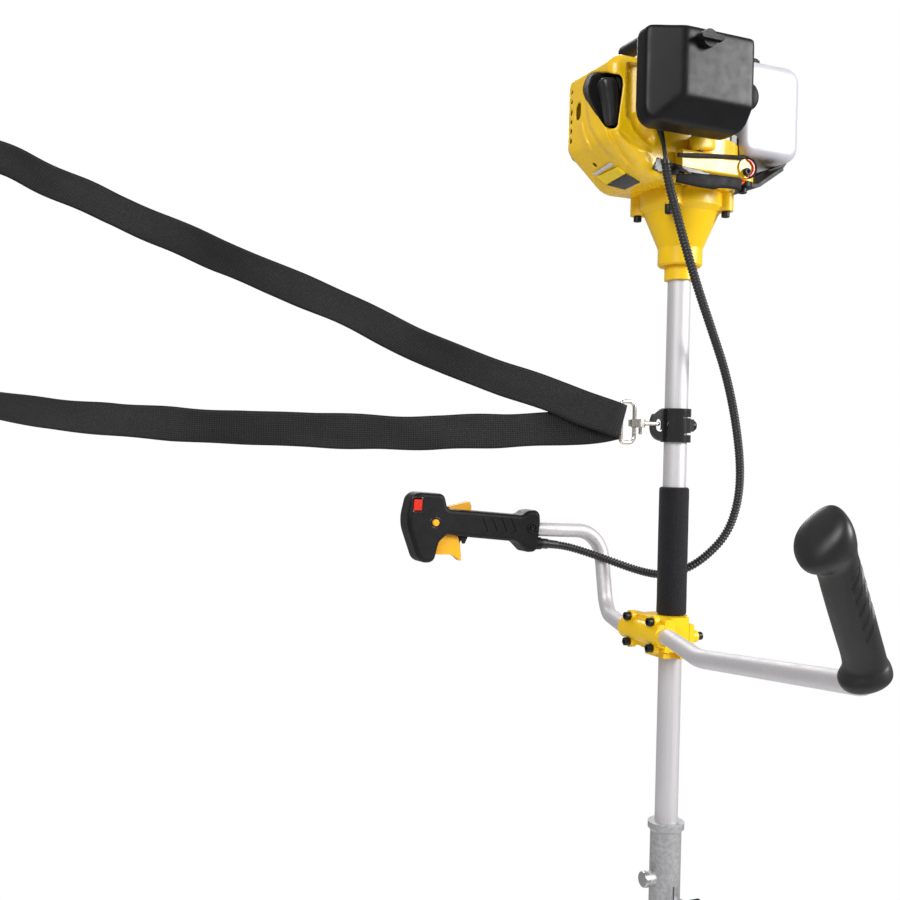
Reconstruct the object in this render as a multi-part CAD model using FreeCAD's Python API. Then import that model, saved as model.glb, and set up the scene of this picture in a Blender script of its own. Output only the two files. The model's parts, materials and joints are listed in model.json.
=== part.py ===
import FreeCAD, Part
import math
import os

# Petrol string trimmer with a bike handle. Millimetres.
# Origin: on the shaft's axis, in the lower face of the clutch housing's collar.
# +Z runs along the shaft towards the engine, -X is the machine's upper side, +Y is the user's right.

V = FreeCAD.Vector
X_AXIS = V(1, 0, 0)
Y_AXIS = V(0, 1, 0)
Z_AXIS = V(0, 0, 1)
ORIGIN = V(0, 0, 0)

# ---- clearances ----
RUN = 0.05          # radial gap of a running fit
SEAT = 0.3          # gap between curved faces that meet without a fit
PLAY = 0.6          # gap round a lever in its slot

# ---- shaft ----
TUBE_R = 13.0
TUBE_WALL = 1.5
TUBE_TOP_Z = 12.0
SPLIT_Z = -652.0            # where the two tubes meet inside the coupling
LOWER_TUBE_LENGTH = 800.0
DRIVE_R = 4.0
DRIVE_SPLIT_Z = -684.0      # lower end of the upper drive shaft
BUSH_LENGTH = 20.0
BUSH_PITCH = 160.0

# ---- clutch housing ----
COLLAR_R = 17.0
COLLAR_H = 15.5
CONE_FOOT_R = 25.0
CONE_FOOT_H = 20.0
CONE_TOP_R = 41.5
CONE_TOP_Z = 74.0
HOUSING_TOP_Z = 96.0
FLANGE_R = 47.0
HOUSING_WALL = 3.0
BOLT_CIRCLE_R = 49.5
LUG_R = 8.5
LUG_Z = 76.0
DRUM_R = 38.0
DRUM_WALL = 2.5
DRUM_HUB_R = 7.5

# ---- socket screws ----
SCREW_R = 2.5
SCREW_HEAD_R = 4.6
SCREW_HEAD_H = 6.5
SCREW_HEX_R = 2.2
SCREW_HEX_DEPTH = 3.0

# ---- engine ----
CRANK_R = 6.0
FLYWHEEL_R = 50.0
FLYWHEEL_Z = 101.0
FLYWHEEL_H = 26.0
BLADE_COUNT = 16
BLADE_H = 16.0
BLADE_T = 2.4
FAN_R = 61.0
FAN_WALL = 3.0
FAN_TOP_Z = 148.0
FAN_RIB_Y = 48.5            # the ribs that close the shell beside the cowl start here
ARM_X = 46.0                # the fan housing's two arms that carry the tank's stand
ARM_Y = 50.0
ARM_Z = 118.0
ARM_R = 11.0
LOBE_X = 38.0               # each arm ends in a round lobe that faces sideways
LOBE_OUT_Y = 67.0
ARM_FACE_Y = 65.0
ARM_ROOT_X = -46.0          # the arm's bar starts here, in front of the cowl
ARM_EDGE_R = 3.0
CASE_R = 38.0
CASE_TOP_Z = 208.0
CYL_Z = 174.0
CYL_BASE_X = -34.0
CYL_R = 26.0
FIN_HALF = 34.0
FIN_T = 2.2
FIN_PITCH = 7.6
FIN_COUNT = 9
FIRST_FIN = 8.0             # from the cylinder's foot to its first fin
CYL_TOP_X = CYL_BASE_X - FIRST_FIN - FIN_PITCH * (FIN_COUNT - 1) - FIN_T - 1.0
COWL_X = -126.0             # top of the cowl, over the cylinder head
COWL_FOOT_X = -24.0
COWL_HALF_Y = 50.0
COWL_TOP_Z = 226.0
COWL_WALL = 2.5
COWL_EDGE_R = 13.0
MUFFLER_Y0 = 44.0
MUFFLER_DEPTH = 36.0
MUFFLER_X0 = -88.0
MUFFLER_X1 = -34.0
MUFFLER_Z0 = 150.0
MUFFLER_Z1 = 209.0
GUARD_GAP = 4.0

# ---- intake side ----
CARB_X = -63.0
CARB_Z = 178.0
CARB_Y0 = -42.0
CARB_Y1 = -84.0
CARB_HALF = 16.0
FILTER_X0 = -120.0
FILTER_X1 = 0.0
FILTER_Z0 = 136.0
FILTER_Z1 = 238.0
FILTER_BASE_Y = -84.0
FILTER_BASE_T = 5.0
FILTER_DEPTH = 40.0
FILTER_BEVEL = 27.0
FILTER_SLOPE_X = 33.0       # the sloped left shoulder of the cover
FILTER_SLOPE_Y = 22.0
FILTER_LOW_R = 17.0
FILTER_WALL = 2.4
FILTER_EDGE_R = 9.0

# ---- tank and stand ----
TANK_X0 = 42.0
TANK_X1 = 126.0
TANK_Y0 = -50.0
TANK_Y1 = 56.0
TANK_Z0 = 138.0
TANK_Z1 = 246.0
TANK_R = 18.0
TANK_WALL = 2.5
CAP_R = 19.0
CAP_H = 15.0
STAND_X = 133.0             # plane that the set-down engine rests on
STAND_T = 4.0
SKID_HALF_Y = 24.0
SKID_W = 12.0
STAND_WIDE_X = 99.0         # the stand is as wide as its arms up to here

# ---- starter ----
STARTER_R = 57.0
STARTER_Z0 = 218.0
STARTER_Z1 = 262.0
PULL_Y = -22.0
PULL_Z = 246.0
PULL_BAR = 62.0
PULL_BAR_R = 8.5

# ---- harness clamp, hook and strap ----
CLAMP_Z = -164.3
CLAMP_H = 37.0
CLAMP_T = 4.0
EYE_PLATE_T = 5.0
HOOK_ROD_R = 2.2
RING_X = -73.0
RING_ROD_R = 2.2
RING_INNER_H = 41.0
STRAP_W = 38.0
STRAP_T = 1.6

# ---- hand-hold and handlebar bracket ----
FOAM_R = 16.8
FOAM_TOP_Z = -234.0
FOAM_BOTTOM_Z = -378.5
BAR_R = 9.0
BAR_WALL = 1.5
BAR_X = -34.0
BAR_Z = -396.5
BRACKET_HALF_Y = 37.0
BRACKET_WALL = 5.0
SHAFT_CAP_X = 6.0
SHAFT_SEAT_H = 46.0
BRACKET_BOLT_Y = 22.5
BRACKET_BOLT_DZ = 14.5
SHAFT_BOLT_Y = 19.5

# ---- handlebar route: straight runs joined by bends ----
BAR_ROUTE = [
    V(-175, 150, -289.0),
    V(-4, 150, -295.5),
    V(-4, 130, -395.0),
    V(BAR_X, 46, BAR_Z),
    V(BAR_X, -44, BAR_Z),
    V(-88, -170, -393.0),
    V(-119, -420, -366.0),
    V(-178, -432, -262.0),
]
BAR_BENDS = [34.0, 30.0, 40.0, 32.0, 90.0, 22.0]

# ---- throttle handle, in the plane of its two shells ----
HANDLE_Y = 150.0
HANDLE_HALF = 15.0          # thickness of each shell
HANDLE_WALL = 2.6
TRIGGER_PIVOT = V(-229, HANDLE_Y, -297.5)
LOCKOFF_PIVOT = V(-212, HANDLE_Y, -272.5)
BUTTON_XZ = (-236.0, -283.0)
SWITCH_XZ = (-258.7, -262.3)

# ---- coupling ----
COUPLING_TOP_Z = -613.0
COUPLING_LENGTH = 118.0
COUPLING_R = 17.5
COUPLING_FLANGE_R = 20.5
COUPLING_SLOT = 2.0
KNOB_Z = COUPLING_TOP_Z - COUPLING_LENGTH + 23.0
LOCK_Z = -676.0
LOCK_R = 4.0

# ---- gearbox and cutting head ----
HEAD_TILT = 57.0            # angle between the shaft and the spindle, degrees
SPINDLE_R = 5.0
PINION_TEETH = 15
GEAR_TEETH = 19
HEAD_R = 54.0
HEAD_H = 44.0
KNOB_R = 24.0
LINE_R = 1.2
GUARD_R = 165.0
LINE_REACH = GUARD_R - 7.0
GUARD_H = 62.0
GUARD_T = 3.0
GUARD_ARC = 130.0


# ---------------------------------------------------------------- helpers

# engine body
BAY_OUTLINE = [
    (-147.0, 199.5), (-153.0, 178.0), (-131.0, 143.0),
    (-119.0, 143.0), (-113.0, 190.0), (-114.0, 200.5),
]
BAY_RADII = [8, 14, 7, 6, 20, 6]
BAY_FACE_Y = -50.0          # the plane that the bay's outline is drawn in
BAY_WAY = V(0.39, 0.88, 0.27)
BAY_OUT = 40.0
BAY_DEEP = 68.0
PLUG_BASE = V(-92, -12, 172)
PLUG_WAY = V(-0.82, -0.57, 0)

# intake
ARM_PIN_R = 2.5
CARB_ARM_Y = -72.0
CARB_ARM_Z = 172.0
CARB_ARM_REACH = 11.0
CARB_STOP_Z = 150.0
KNOB_SCREW_Z = 222.0
CHOKE_X = -18.0
CHOKE_Z = 196.0
FILTER_CREASE_R = 9.0
FILTER_RIM_R = 3.0
BULB_Y = -70.0
BULB_Z = 178.0
BULB_R = 8.0
BULB_STEM_R = 3.0
BULB_STEM = 4.0
BULB_TRAVEL = 1.0

# tank and stand
NECK_R = 14.0

# harness clamp, hook, ring, strap
HOOK_Z = CLAMP_Z + 1.0
HOOK_BODY_X = -50.0
HOOK_HALF_Y = 6.0
GATE_PIVOT = V(-49.0, 6.0, 0.0)
STRAP_ROUTE = [
    (V(RING_X, -3.4, -162.3), V(0, 0, 1)),
    (V(-79, -3.0, -160.5), V(0.1, 0, 1)),
    (V(-94, 6, -154), V(0.25, 0, 1)),
    (V(-135, 34, -137), V(0.35, -0.1, 1)),
    (V(-203, 76, -111), V(0.38, -0.15, 1)),
    (V(-271, 118, -80), V(0.45, -0.22, 1)),
    (V(-358, 170, -33), V(0.45, -0.22, 1)),
    (V(-448, 226, 9), V(0.40, -0.20, 1)),
    (V(-543, 285, 56), V(0.42, -0.22, 1)),
    (V(-631, 339, 99), V(0.42, -0.25, 1)),
    (V(-706, 385, 138), V(0.38, -0.15, 1)),
    (V(-768, 414, 152), V(0.42, 0.05, 1)),
    (V(-824, 424, 138), V(0.55, 0.30, 0.9)),
    (V(-862, 418, 100), V(0.62, 0.55, 0.7)),
    (V(-878, 398, 48), V(0.60, 0.80, 0.45)),
    (V(-872, 368, -10), V(0.60, 0.90, 0.2)),
    (V(-848, 334, -68), V(0.55, 0.90, 0.05)),
    (V(-808, 303, -116), V(0.40, 0.90, 0.15)),
    (V(-758, 279, -147), V(0.25, 0.80, 0.40)),
    (V(-703, 259, -162), V(0.15, 0.65, 0.65)),
    (V(-640, 234, -170), V(0.08, 0.42, 0.9)),
    (V(-575, 207, -175), V(0.05, 0.15, 1)),
    (V(-479, 167, -179), V(0, 0, 1)),
    (V(-370, 126, -180), V(0, 0, 1)),
    (V(-284, 96, -180), V(0.02, 0, 1)),
    (V(-212, 69, -177), V(0.04, 0, 1)),
    (V(-135, 38, -172), V(0.06, 0, 1)),
    (V(-92, 14, -167), V(0.06, 0, 1)),
    (V(RING_X, 3.4, -162.3), V(0, 0, 1)),
]

# hand-hold, bracket, handlebar
BRACKET_TOP_Z = FOAM_BOTTOM_Z - SEAT
BRACKET_HALF_Z = BRACKET_TOP_Z - BAR_Z
SADDLE_BOTTOM_Z = BRACKET_TOP_Z - SHAFT_SEAT_H
BAR_CLAMP_R = BAR_R + BRACKET_WALL
SHAFT_BOLT_Z = -401.0
BAR_CAP_SEAT_X = -41.0
SHAFT_CAP_SEAT_X = 20.0
GRIP_START = 5.0
GRIP_MOUTH_R = 15.0         # the flange is hollow where the tube bends into it
GRIP_MOUTH = 16.0
GRIP_SADDLE = 1.2           # the flange stands this far clear of the tube that passes under it

# throttle handle
HANDLE_OUTLINE = [
    (-95.8, -282.0), (-97.5, -268.2), (-112.5, -269.0), (-121.0, -274.4), (-187.0, -269.2),
    (-219.5, -267.2), (-224.0, -249.6), (-263.5, -247.2), (-271.5, -283.0), (-254.0, -330.0),
    (-235.5, -329.5), (-229.5, -306.0), (-219.0, -297.0), (-190.0, -300.8), (-127.0, -306.6),
    (-113.5, -319.6), (-99.5, -319.0),
]
HANDLE_RADII = [40, 8, 9, 10, 60, 6, 8.5, 13, 45, 13, 9, 10, 5, 60, 14, 8, 8]
HANDLE_SPUR = [(-200.0, -299.0), (-190.0, -299.0), (-194.6, -308.6), (-197.2, -308.6)]
SPUR_HALF = 8.0
GLAND_R = 7.5
GLAND_X = -89.0
GLAND_Z = -310.0
TRIGGER_HALF = 5.0
LEVER_PIN_R = 2.0
LEVER_PIN_HALF = 11.0
PANEL_PLACES = [-137.0, -149.5, -162.0, -174.5]
PANEL_HALF_X = 4.2
PANEL_HALF_Z = 8.5
PANEL_DEPTH = 0.9
PANEL_LEAN = 24.0
PANEL_Z = -287.5
HANDLE_SCREW_XZ = (-108.0, -290.0)
HANDLE_SCREW_R = 2.6
HANDLE_EDGE_R = 5.0
SWITCH_HALF_X = 5.0
SWITCH_HALF_Z = 7.0
BUTTON_R = 4.0

# throttle cable
CABLE_R = 5.0
CABLE_ROUTE = [
    V(CARB_X - CARB_HALF - 2, CARB_ARM_Y + CARB_ARM_REACH, CARB_STOP_Z - 0.3),
    V(CARB_X - CARB_HALF - 2, CARB_ARM_Y + CARB_ARM_REACH, 126),
    V(-71, -67, 94),
    V(-56, -70, 56),
    V(-39, -66, 21),
    V(-15, -57, -20),
    V(13, -45, -60),
    V(44, -31, -104),
    V(72, -15, -156),
    V(93, 0, -210),
    V(101, 13, -252),
    V(95, 24, -290),
    V(72, 34, -318),
    V(50, 44, -334),
    V(34, 68, -343),
    V(22, 98, -341),
    V(-2, 124, -331),
    V(-34, 143, -319),
    V(-62, 150, -311.8),
    V(GLAND_X + 0.3, HANDLE_Y, GLAND_Z),
]

# coupling
COUPLING_BOTTOM_Z = COUPLING_TOP_Z - COUPLING_LENGTH
LUG_OUT_Y = -33.0
CLAMP_SCREW_Y = -26.0

# gearbox and cutting head
TUBE_BOTTOM_Z = SPLIT_Z - LOWER_TUBE_LENGTH
APEX_Z = TUBE_BOTTOM_Z - 38.0
CONE_DISTANCE = 28.0
TOOTH_LENGTH = 9.0
SHAFT_ANGLE = math.radians(HEAD_TILT)
PINION_CONE = math.atan(math.sin(SHAFT_ANGLE) / (GEAR_TEETH / PINION_TEETH + math.cos(SHAFT_ANGLE)))
GEAR_CONE = SHAFT_ANGLE - PINION_CONE
TOOTH_GAP = 0.4
SPINDLE_END = 68.0
HEAD_TOP = 38.0
GUARD_TOP = 22.0            # the guard's plate lies this far from the gears' apex along the spindle
LINE_Z = HEAD_TOP + 30.0
BUMP_TRAVEL = 6.0


def box(x0, x1, y0, y1, z0, z1):
    return Part.makeBox(x1 - x0, y1 - y0, z1 - z0, V(x0, y0, z0))


def rod(radius, start, end):
    along = end.sub(start)
    return Part.makeCylinder(radius, along.Length, start, along)


def ring(outer, inner, start, end):
    along = end.sub(start)
    reach = V(along).normalize()
    hole = rod(inner, start.sub(reach), end.add(reach))
    return rod(outer, start, end).cut(hole)


def revolved(profile, base=ORIGIN, axis=Z_AXIS, angle=360.0):
    """A solid of revolution about Z from (radius, height) points, then turned to lie along axis from base."""
    points = [V(r, 0, z) for r, z in profile]
    face = Part.Face(Part.makePolygon(points + [points[0]]))
    solid = face.revolve(ORIGIN, Z_AXIS, angle)
    solid.Placement = FreeCAD.Placement(base, FreeCAD.Rotation(Z_AXIS, axis))
    return solid


def prism(points, direction):
    face = Part.Face(Part.makePolygon(list(points) + [points[0]]))
    return face.extrude(direction)


def rounded_outline(points, radii):
    """A closed wire through the points, each corner rounded by its own radius."""
    count = len(points)
    tangents = []
    for i, corner in enumerate(points):
        before = points[i - 1].sub(corner)
        after = points[(i + 1) % count].sub(corner)
        half = before.getAngle(after) / 2
        reach = radii[i] / math.tan(half)
        start = corner.add(V(before).normalize().multiply(reach))
        end = corner.add(V(after).normalize().multiply(reach))
        inward = V(before).normalize().add(V(after).normalize()).normalize()
        centre = corner.add(V(inward).multiply(radii[i] / math.sin(half)))
        middle = centre.sub(V(inward).multiply(radii[i]))
        tangents.append((start, middle, end))
    edges = []
    for i, (start, middle, end) in enumerate(tangents):
        if radii[i] > 0:
            edges.append(Part.Arc(start, middle, end).toShape())
        following = tangents[(i + 1) % count][0]
        if end.distanceToPoint(following) > 1e-6:
            edges.append(Part.LineSegment(end, following).toShape())
    return Part.Wire(Part.__sortEdges__(edges))


def rounded_prism(points, radii, direction):
    return Part.Face(rounded_outline(points, radii)).extrude(direction)


def rounded_rect(x0, x1, y0, y1, z0, z1, radius, axis="Z"):
    """A box whose edges along one axis are rounded."""
    if axis == "Z":
        corners = [V(x0, y0, z0), V(x1, y0, z0), V(x1, y1, z0), V(x0, y1, z0)]
        direction = V(0, 0, z1 - z0)
    elif axis == "Y":
        corners = [V(x0, y0, z0), V(x1, y0, z0), V(x1, y0, z1), V(x0, y0, z1)]
        direction = V(0, y1 - y0, 0)
    else:
        corners = [V(x0, y0, z0), V(x0, y1, z0), V(x0, y1, z1), V(x0, y0, z1)]
        direction = V(x1 - x0, 0, 0)
    return rounded_prism(corners, [radius] * len(corners), direction)


def fillet_where(shape, radius, test):
    edges = [e for e in shape.Edges if test(e)]
    return shape.makeFillet(radius, edges)


def bent_path(points, radii):
    """A wire of straight runs joined by tangent arcs at the inner points."""
    edges = []
    start = points[0]
    for i in range(1, len(points) - 1):
        corner = points[i]
        before = V(points[i - 1].sub(corner)).normalize()
        after = V(points[i + 1].sub(corner)).normalize()
        half = before.getAngle(after) / 2
        reach = radii[i - 1] / math.tan(half)
        first = corner.add(V(before).multiply(reach))
        last = corner.add(V(after).multiply(reach))
        inward = V(before).add(after).normalize()
        middle = corner.add(inward.multiply(radii[i - 1] / math.sin(half) - radii[i - 1]))
        edges.append(Part.LineSegment(start, first).toShape())
        edges.append(Part.Arc(first, middle, last).toShape())
        start = last
    edges.append(Part.LineSegment(start, points[-1]).toShape())
    return Part.Wire(edges)


def swept(path, radius):
    start = path.Edges[0].Vertexes[0].Point
    tangent = path.Edges[0].tangentAt(path.Edges[0].FirstParameter)
    profile = Part.Wire(Part.makeCircle(radius, start, tangent))
    return path.makePipeShell([profile], True, False)


def bent_tube(points, radii, outer, inner):
    path = bent_path(points, radii)
    return swept(path, outer).cut(swept(path, inner))


def socket_screw(seat, inward, length, washer=0.0):
    """A hexagon socket screw: its head stands outside seat and its shank runs inward."""
    way = V(inward).normalize()
    top = seat.sub(V(way).multiply(SCREW_HEAD_H + washer))
    head = rod(SCREW_HEAD_R, top, seat.sub(V(way).multiply(washer)))
    rim = [e for e in head.Edges if e.Curve.TypeId == "Part::GeomCircle"]
    rim = [e for e in rim if e.Curve.Center.distanceToPoint(top) < 1e-6]
    head = head.makeFillet(0.8, rim)
    shank = rod(SCREW_R, seat.sub(V(way).multiply(washer)), seat.add(V(way).multiply(length)))
    hexagon = hex_bar(SCREW_HEX_R, top, way, SCREW_HEX_DEPTH)
    return head.fuse(shank).cut(hexagon).removeSplitter()


def hex_bar(radius, base, axis, length):
    """A six-sided bar from base along axis; radius is to its corners."""
    corners = []
    for i in range(6):
        turn = math.radians(60 * i)
        corners.append(V(radius * math.cos(turn), radius * math.sin(turn), 0))
    bar = prism(corners, V(0, 0, length))
    bar.Placement = FreeCAD.Placement(base, FreeCAD.Rotation(Z_AXIS, axis))
    return bar


def fused(shapes):
    first = shapes[0]
    return first.multiFuse(shapes[1:]).removeSplitter() if len(shapes) > 1 else first


def group(shapes):
    return Part.makeCompound(shapes)


def polar(radius, degrees, z):
    turn = math.radians(degrees)
    return V(radius * math.cos(turn), radius * math.sin(turn), z)


# ---------------------------------------------------------------- clutch side
def clutch_lug_angles():
    return [45 + 90 * i for i in range(4)]


def clutch_housing():
    outer = revolved([
        (0, 0), (COLLAR_R, 0), (COLLAR_R, COLLAR_H + 3), (CONE_FOOT_R - 2, COLLAR_H),
        (CONE_FOOT_R, COLLAR_H + 2), (CONE_FOOT_R, COLLAR_H + CONE_FOOT_H),
        (CONE_TOP_R, CONE_TOP_Z), (FLANGE_R, CONE_TOP_Z + 6), (FLANGE_R, HOUSING_TOP_Z), (0, HOUSING_TOP_Z),
    ])
    lugs = []
    for angle in clutch_lug_angles():
        centre = polar(BOLT_CIRCLE_R, angle, LUG_Z)
        lugs.append(rod(LUG_R, centre, V(centre.x, centre.y, HOUSING_TOP_Z)))
        inner = polar(FLANGE_R - 12, angle, LUG_Z)
        web = box(0, BOLT_CIRCLE_R - FLANGE_R + 12, -LUG_R, LUG_R, 0, HOUSING_TOP_Z - LUG_Z)
        web.Placement = FreeCAD.Placement(inner, FreeCAD.Rotation(Z_AXIS, angle))
        lugs.append(web)
    body = fused([outer] + lugs)
    cavity = revolved([
        (0, COLLAR_H + 20), (20, COLLAR_H + 20), (CONE_TOP_R - HOUSING_WALL, CONE_TOP_Z - 3),
        (DRUM_R + 1.5, CONE_TOP_Z), (DRUM_R + 1.5, HOUSING_TOP_Z + 1), (0, HOUSING_TOP_Z + 1),
    ])
    body = body.cut(cavity)
    body = body.cut(rod(TUBE_R + RUN, V(0, 0, -1), V(0, 0, TUBE_TOP_Z)))
    body = body.cut(rod(DRUM_HUB_R + RUN, ORIGIN, V(0, 0, COLLAR_H + 21)))
    for angle in clutch_lug_angles():
        centre = polar(BOLT_CIRCLE_R, angle, LUG_Z - 1)
        body = body.cut(rod(SCREW_R + RUN, centre, V(centre.x, centre.y, HOUSING_TOP_Z + 1)))
    return body


def clutch_drum():
    cup = revolved([
        (DRIVE_R + RUN, COLLAR_H - 1), (DRUM_HUB_R, COLLAR_H - 1), (DRUM_HUB_R, CONE_TOP_Z + 2),
        (DRUM_R, CONE_TOP_Z + 2), (DRUM_R, HOUSING_TOP_Z - 3), (DRUM_R - DRUM_WALL, HOUSING_TOP_Z - 3),
        (DRUM_R - DRUM_WALL, CONE_TOP_Z + 5), (0, CONE_TOP_Z + 5), (0, COLLAR_H + 26),
        (DRIVE_R + RUN, COLLAR_H + 26),
    ])
    for i in range(6):
        centre = polar(DRUM_R * 0.62, 60 * i, CONE_TOP_Z)
        cup = cup.cut(rod(5, centre, V(centre.x, centre.y, CONE_TOP_Z + 6)))
    return cup


def upper_drive_shaft():
    return rod(DRIVE_R, V(0, 0, DRIVE_SPLIT_Z), V(0, 0, COLLAR_H + 25.5))


def clutch_shoes():
    inner_r = 21.0
    outer_r = DRUM_R - DRUM_WALL - 1.2
    low = CONE_TOP_Z + 8
    high = HOUSING_TOP_Z - 3
    shoes = []
    full = ring(outer_r, inner_r, V(0, 0, low), V(0, 0, high))
    gap = box(-60, 60, -5, 5, low - 1, high + 1)
    for half in full.cut(gap).Solids:
        side = 1 if half.CenterOfMass.y > 0 else -1
        post = rod(4, V(0, side * 27, high), V(0, side * 27, FLYWHEEL_Z))
        shoes.append(half.fuse(post).removeSplitter())
    return group(shoes)


def flywheel():
    disc = revolved([
        (CRANK_R + RUN, FLYWHEEL_Z), (FLYWHEEL_R, FLYWHEEL_Z), (FLYWHEEL_R, FLYWHEEL_Z + 4),
        (20, FLYWHEEL_Z + 8), (14, FLYWHEEL_Z + FLYWHEEL_H), (CRANK_R + RUN, FLYWHEEL_Z + FLYWHEEL_H),
    ])
    blades = []
    for i in range(BLADE_COUNT):
        blade = box(27, FLYWHEEL_R - 1, -BLADE_T / 2, BLADE_T / 2, FLYWHEEL_Z + 3, FLYWHEEL_Z + 4 + BLADE_H)
        blade.rotate(V(27, 0, 0), Z_AXIS, 18)
        blade.rotate(ORIGIN, Z_AXIS, 360 / BLADE_COUNT * i)
        blades.append(blade)
    return fused([disc] + blades)


def crankshaft():
    return rod(CRANK_R, V(0, 0, HOUSING_TOP_Z - 6), V(0, 0, CASE_TOP_Z + 12))


# ---------------------------------------------------------------- engine body
def fan_arms():
    """The two arms that reach to the tank's stand."""
    arms = []
    for side in (-1, 1):
        end = V(ARM_X, side * ARM_Y, ARM_Z - 12)
        root = V(20, side * 34, ARM_Z - 12)
        turn = math.degrees(math.atan2(end.y - root.y, end.x - root.x))
        span = end.sub(root).Length
        web = box(0, span, -9, 9, 0, 24)
        web.Placement = FreeCAD.Placement(root, FreeCAD.Rotation(Z_AXIS, turn))
        arms.append(web)
        arms.append(rod(ARM_R, end, end.add(V(0, 0, 24))))
        lobe_root = V(LOBE_X, side * (ARM_Y - 14), ARM_Z)
        arms.append(rod(ARM_R, lobe_root, V(LOBE_X, side * LOBE_OUT_Y, ARM_Z)))
    return arms


def arm_bars():
    """The flat bar along each side, from beside the cowl to the arm's lobe."""
    bars = []
    low = ARM_Z - ARM_R
    high = ARM_Z + ARM_R
    for side in (-1, 1):
        inner, outer = sorted((side * (COWL_HALF_Y + 1), side * ARM_FACE_Y))
        bars.append(rounded_rect(ARM_ROOT_X, LOBE_X, inner, outer, low, high, ARM_EDGE_R, "X"))
    return bars


def fan_housing():
    outer = revolved([
        (0, HOUSING_TOP_Z), (FLANGE_R + 7, HOUSING_TOP_Z), (FAN_R - 2, HOUSING_TOP_Z + 5),
        (FAN_R, HOUSING_TOP_Z + 13), (FAN_R, FAN_TOP_Z), (0, FAN_TOP_Z),
    ])
    body = fused([outer] + fan_arms())
    cavity = revolved([
        (0, HOUSING_TOP_Z + FAN_WALL), (FAN_R - 7, HOUSING_TOP_Z + FAN_WALL),
        (FAN_R - FAN_WALL, HOUSING_TOP_Z + 14), (FAN_R - FAN_WALL, FAN_TOP_Z + 1), (0, FAN_TOP_Z + 1),
    ])
    body = body.cut(cavity)
    body = body.cut(rod(DRUM_R - DRUM_WALL, V(0, 0, HOUSING_TOP_Z - 1), V(0, 0, HOUSING_TOP_Z + 5)))
    cowl_side = box(-FAN_R - 1, COWL_FOOT_X + SEAT, -FAN_R, FAN_R, HOUSING_TOP_Z - 2, FAN_TOP_Z + 2)
    for side in (-1, 1):
        near = min(side * FAN_RIB_Y, side * FAN_R)
        far = near + FAN_R - FAN_RIB_Y
        rib = box(COWL_FOOT_X, COWL_FOOT_X + FAN_WALL, near, far, HOUSING_TOP_Z, FAN_TOP_Z)
        body = body.fuse(rib.common(outer))
    body = fused([body.cut(cowl_side)] + arm_bars())
    for angle in clutch_lug_angles():
        centre = polar(BOLT_CIRCLE_R, angle, HOUSING_TOP_Z - 1)
        body = body.cut(rod(SCREW_R + RUN, centre, V(centre.x, centre.y, HOUSING_TOP_Z + 12)))
    for hole in stand_screw_holes():
        body = body.cut(hole)
    return body


def stand_screw_holes():
    low = ARM_Z - 12 - STAND_T
    holes = []
    for side in (-1, 1):
        holes.append(rod(SCREW_R + RUN, V(ARM_X, side * ARM_Y, low - 1), V(ARM_X, side * ARM_Y, low + 17)))
    return holes


def cowl_profile(inset):
    """Side profile of the cowl from the clutch end round the cylinder head, as a wire."""
    foot_z = HOUSING_TOP_Z + inset
    top_x = COWL_X + inset
    right = COWL_FOOT_X + (2 if inset else 0)
    lower = COWL_TOP_Z - inset
    points = [
        V(right, 0, foot_z), V(-78 + inset * 0.5, 0, foot_z), V(-104 + inset * 0.7, 0, 119 + inset * 0.7),
        V(top_x, 0, 138), V(top_x, 0, lower), V(right, 0, lower),
    ]
    radii = [0, 30, 60, 17, 16, 0]
    edges = []
    start = points[0]
    for i in range(1, 5):
        corner = points[i]
        before = V(points[i - 1].sub(corner)).normalize()
        after = V(points[i + 1].sub(corner)).normalize()
        half = before.getAngle(after) / 2
        reach = radii[i] / math.tan(half)
        first = corner.add(V(before).multiply(reach))
        last = corner.add(V(after).multiply(reach))
        inward = V(before).add(after).normalize()
        middle = corner.add(inward.multiply(radii[i] / math.sin(half) - radii[i]))
        edges.append(Part.LineSegment(start, first).toShape())
        edges.append(Part.Arc(first, middle, last).toShape())
        start = last
    edges.append(Part.LineSegment(start, points[5]).toShape())
    edges.append(Part.LineSegment(points[5], points[0]).toShape())
    return Part.Wire(edges)


def cowl_form(inset):
    half = COWL_HALF_Y - inset
    wire = cowl_profile(inset)
    wire.translate(V(0, -half, 0))
    return Part.Face(wire).extrude(V(0, 2 * half, 0))


def plug_bay():
    """The slanted opening in the cowl that the plug's boot stands in."""
    back = V(BAY_WAY).multiply(-BAY_OUT)
    outline = [V(x, BAY_FACE_Y, z).add(back) for x, z in BAY_OUTLINE]
    return rounded_prism(outline, BAY_RADII, V(BAY_WAY).multiply(BAY_OUT + BAY_DEEP))


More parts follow.
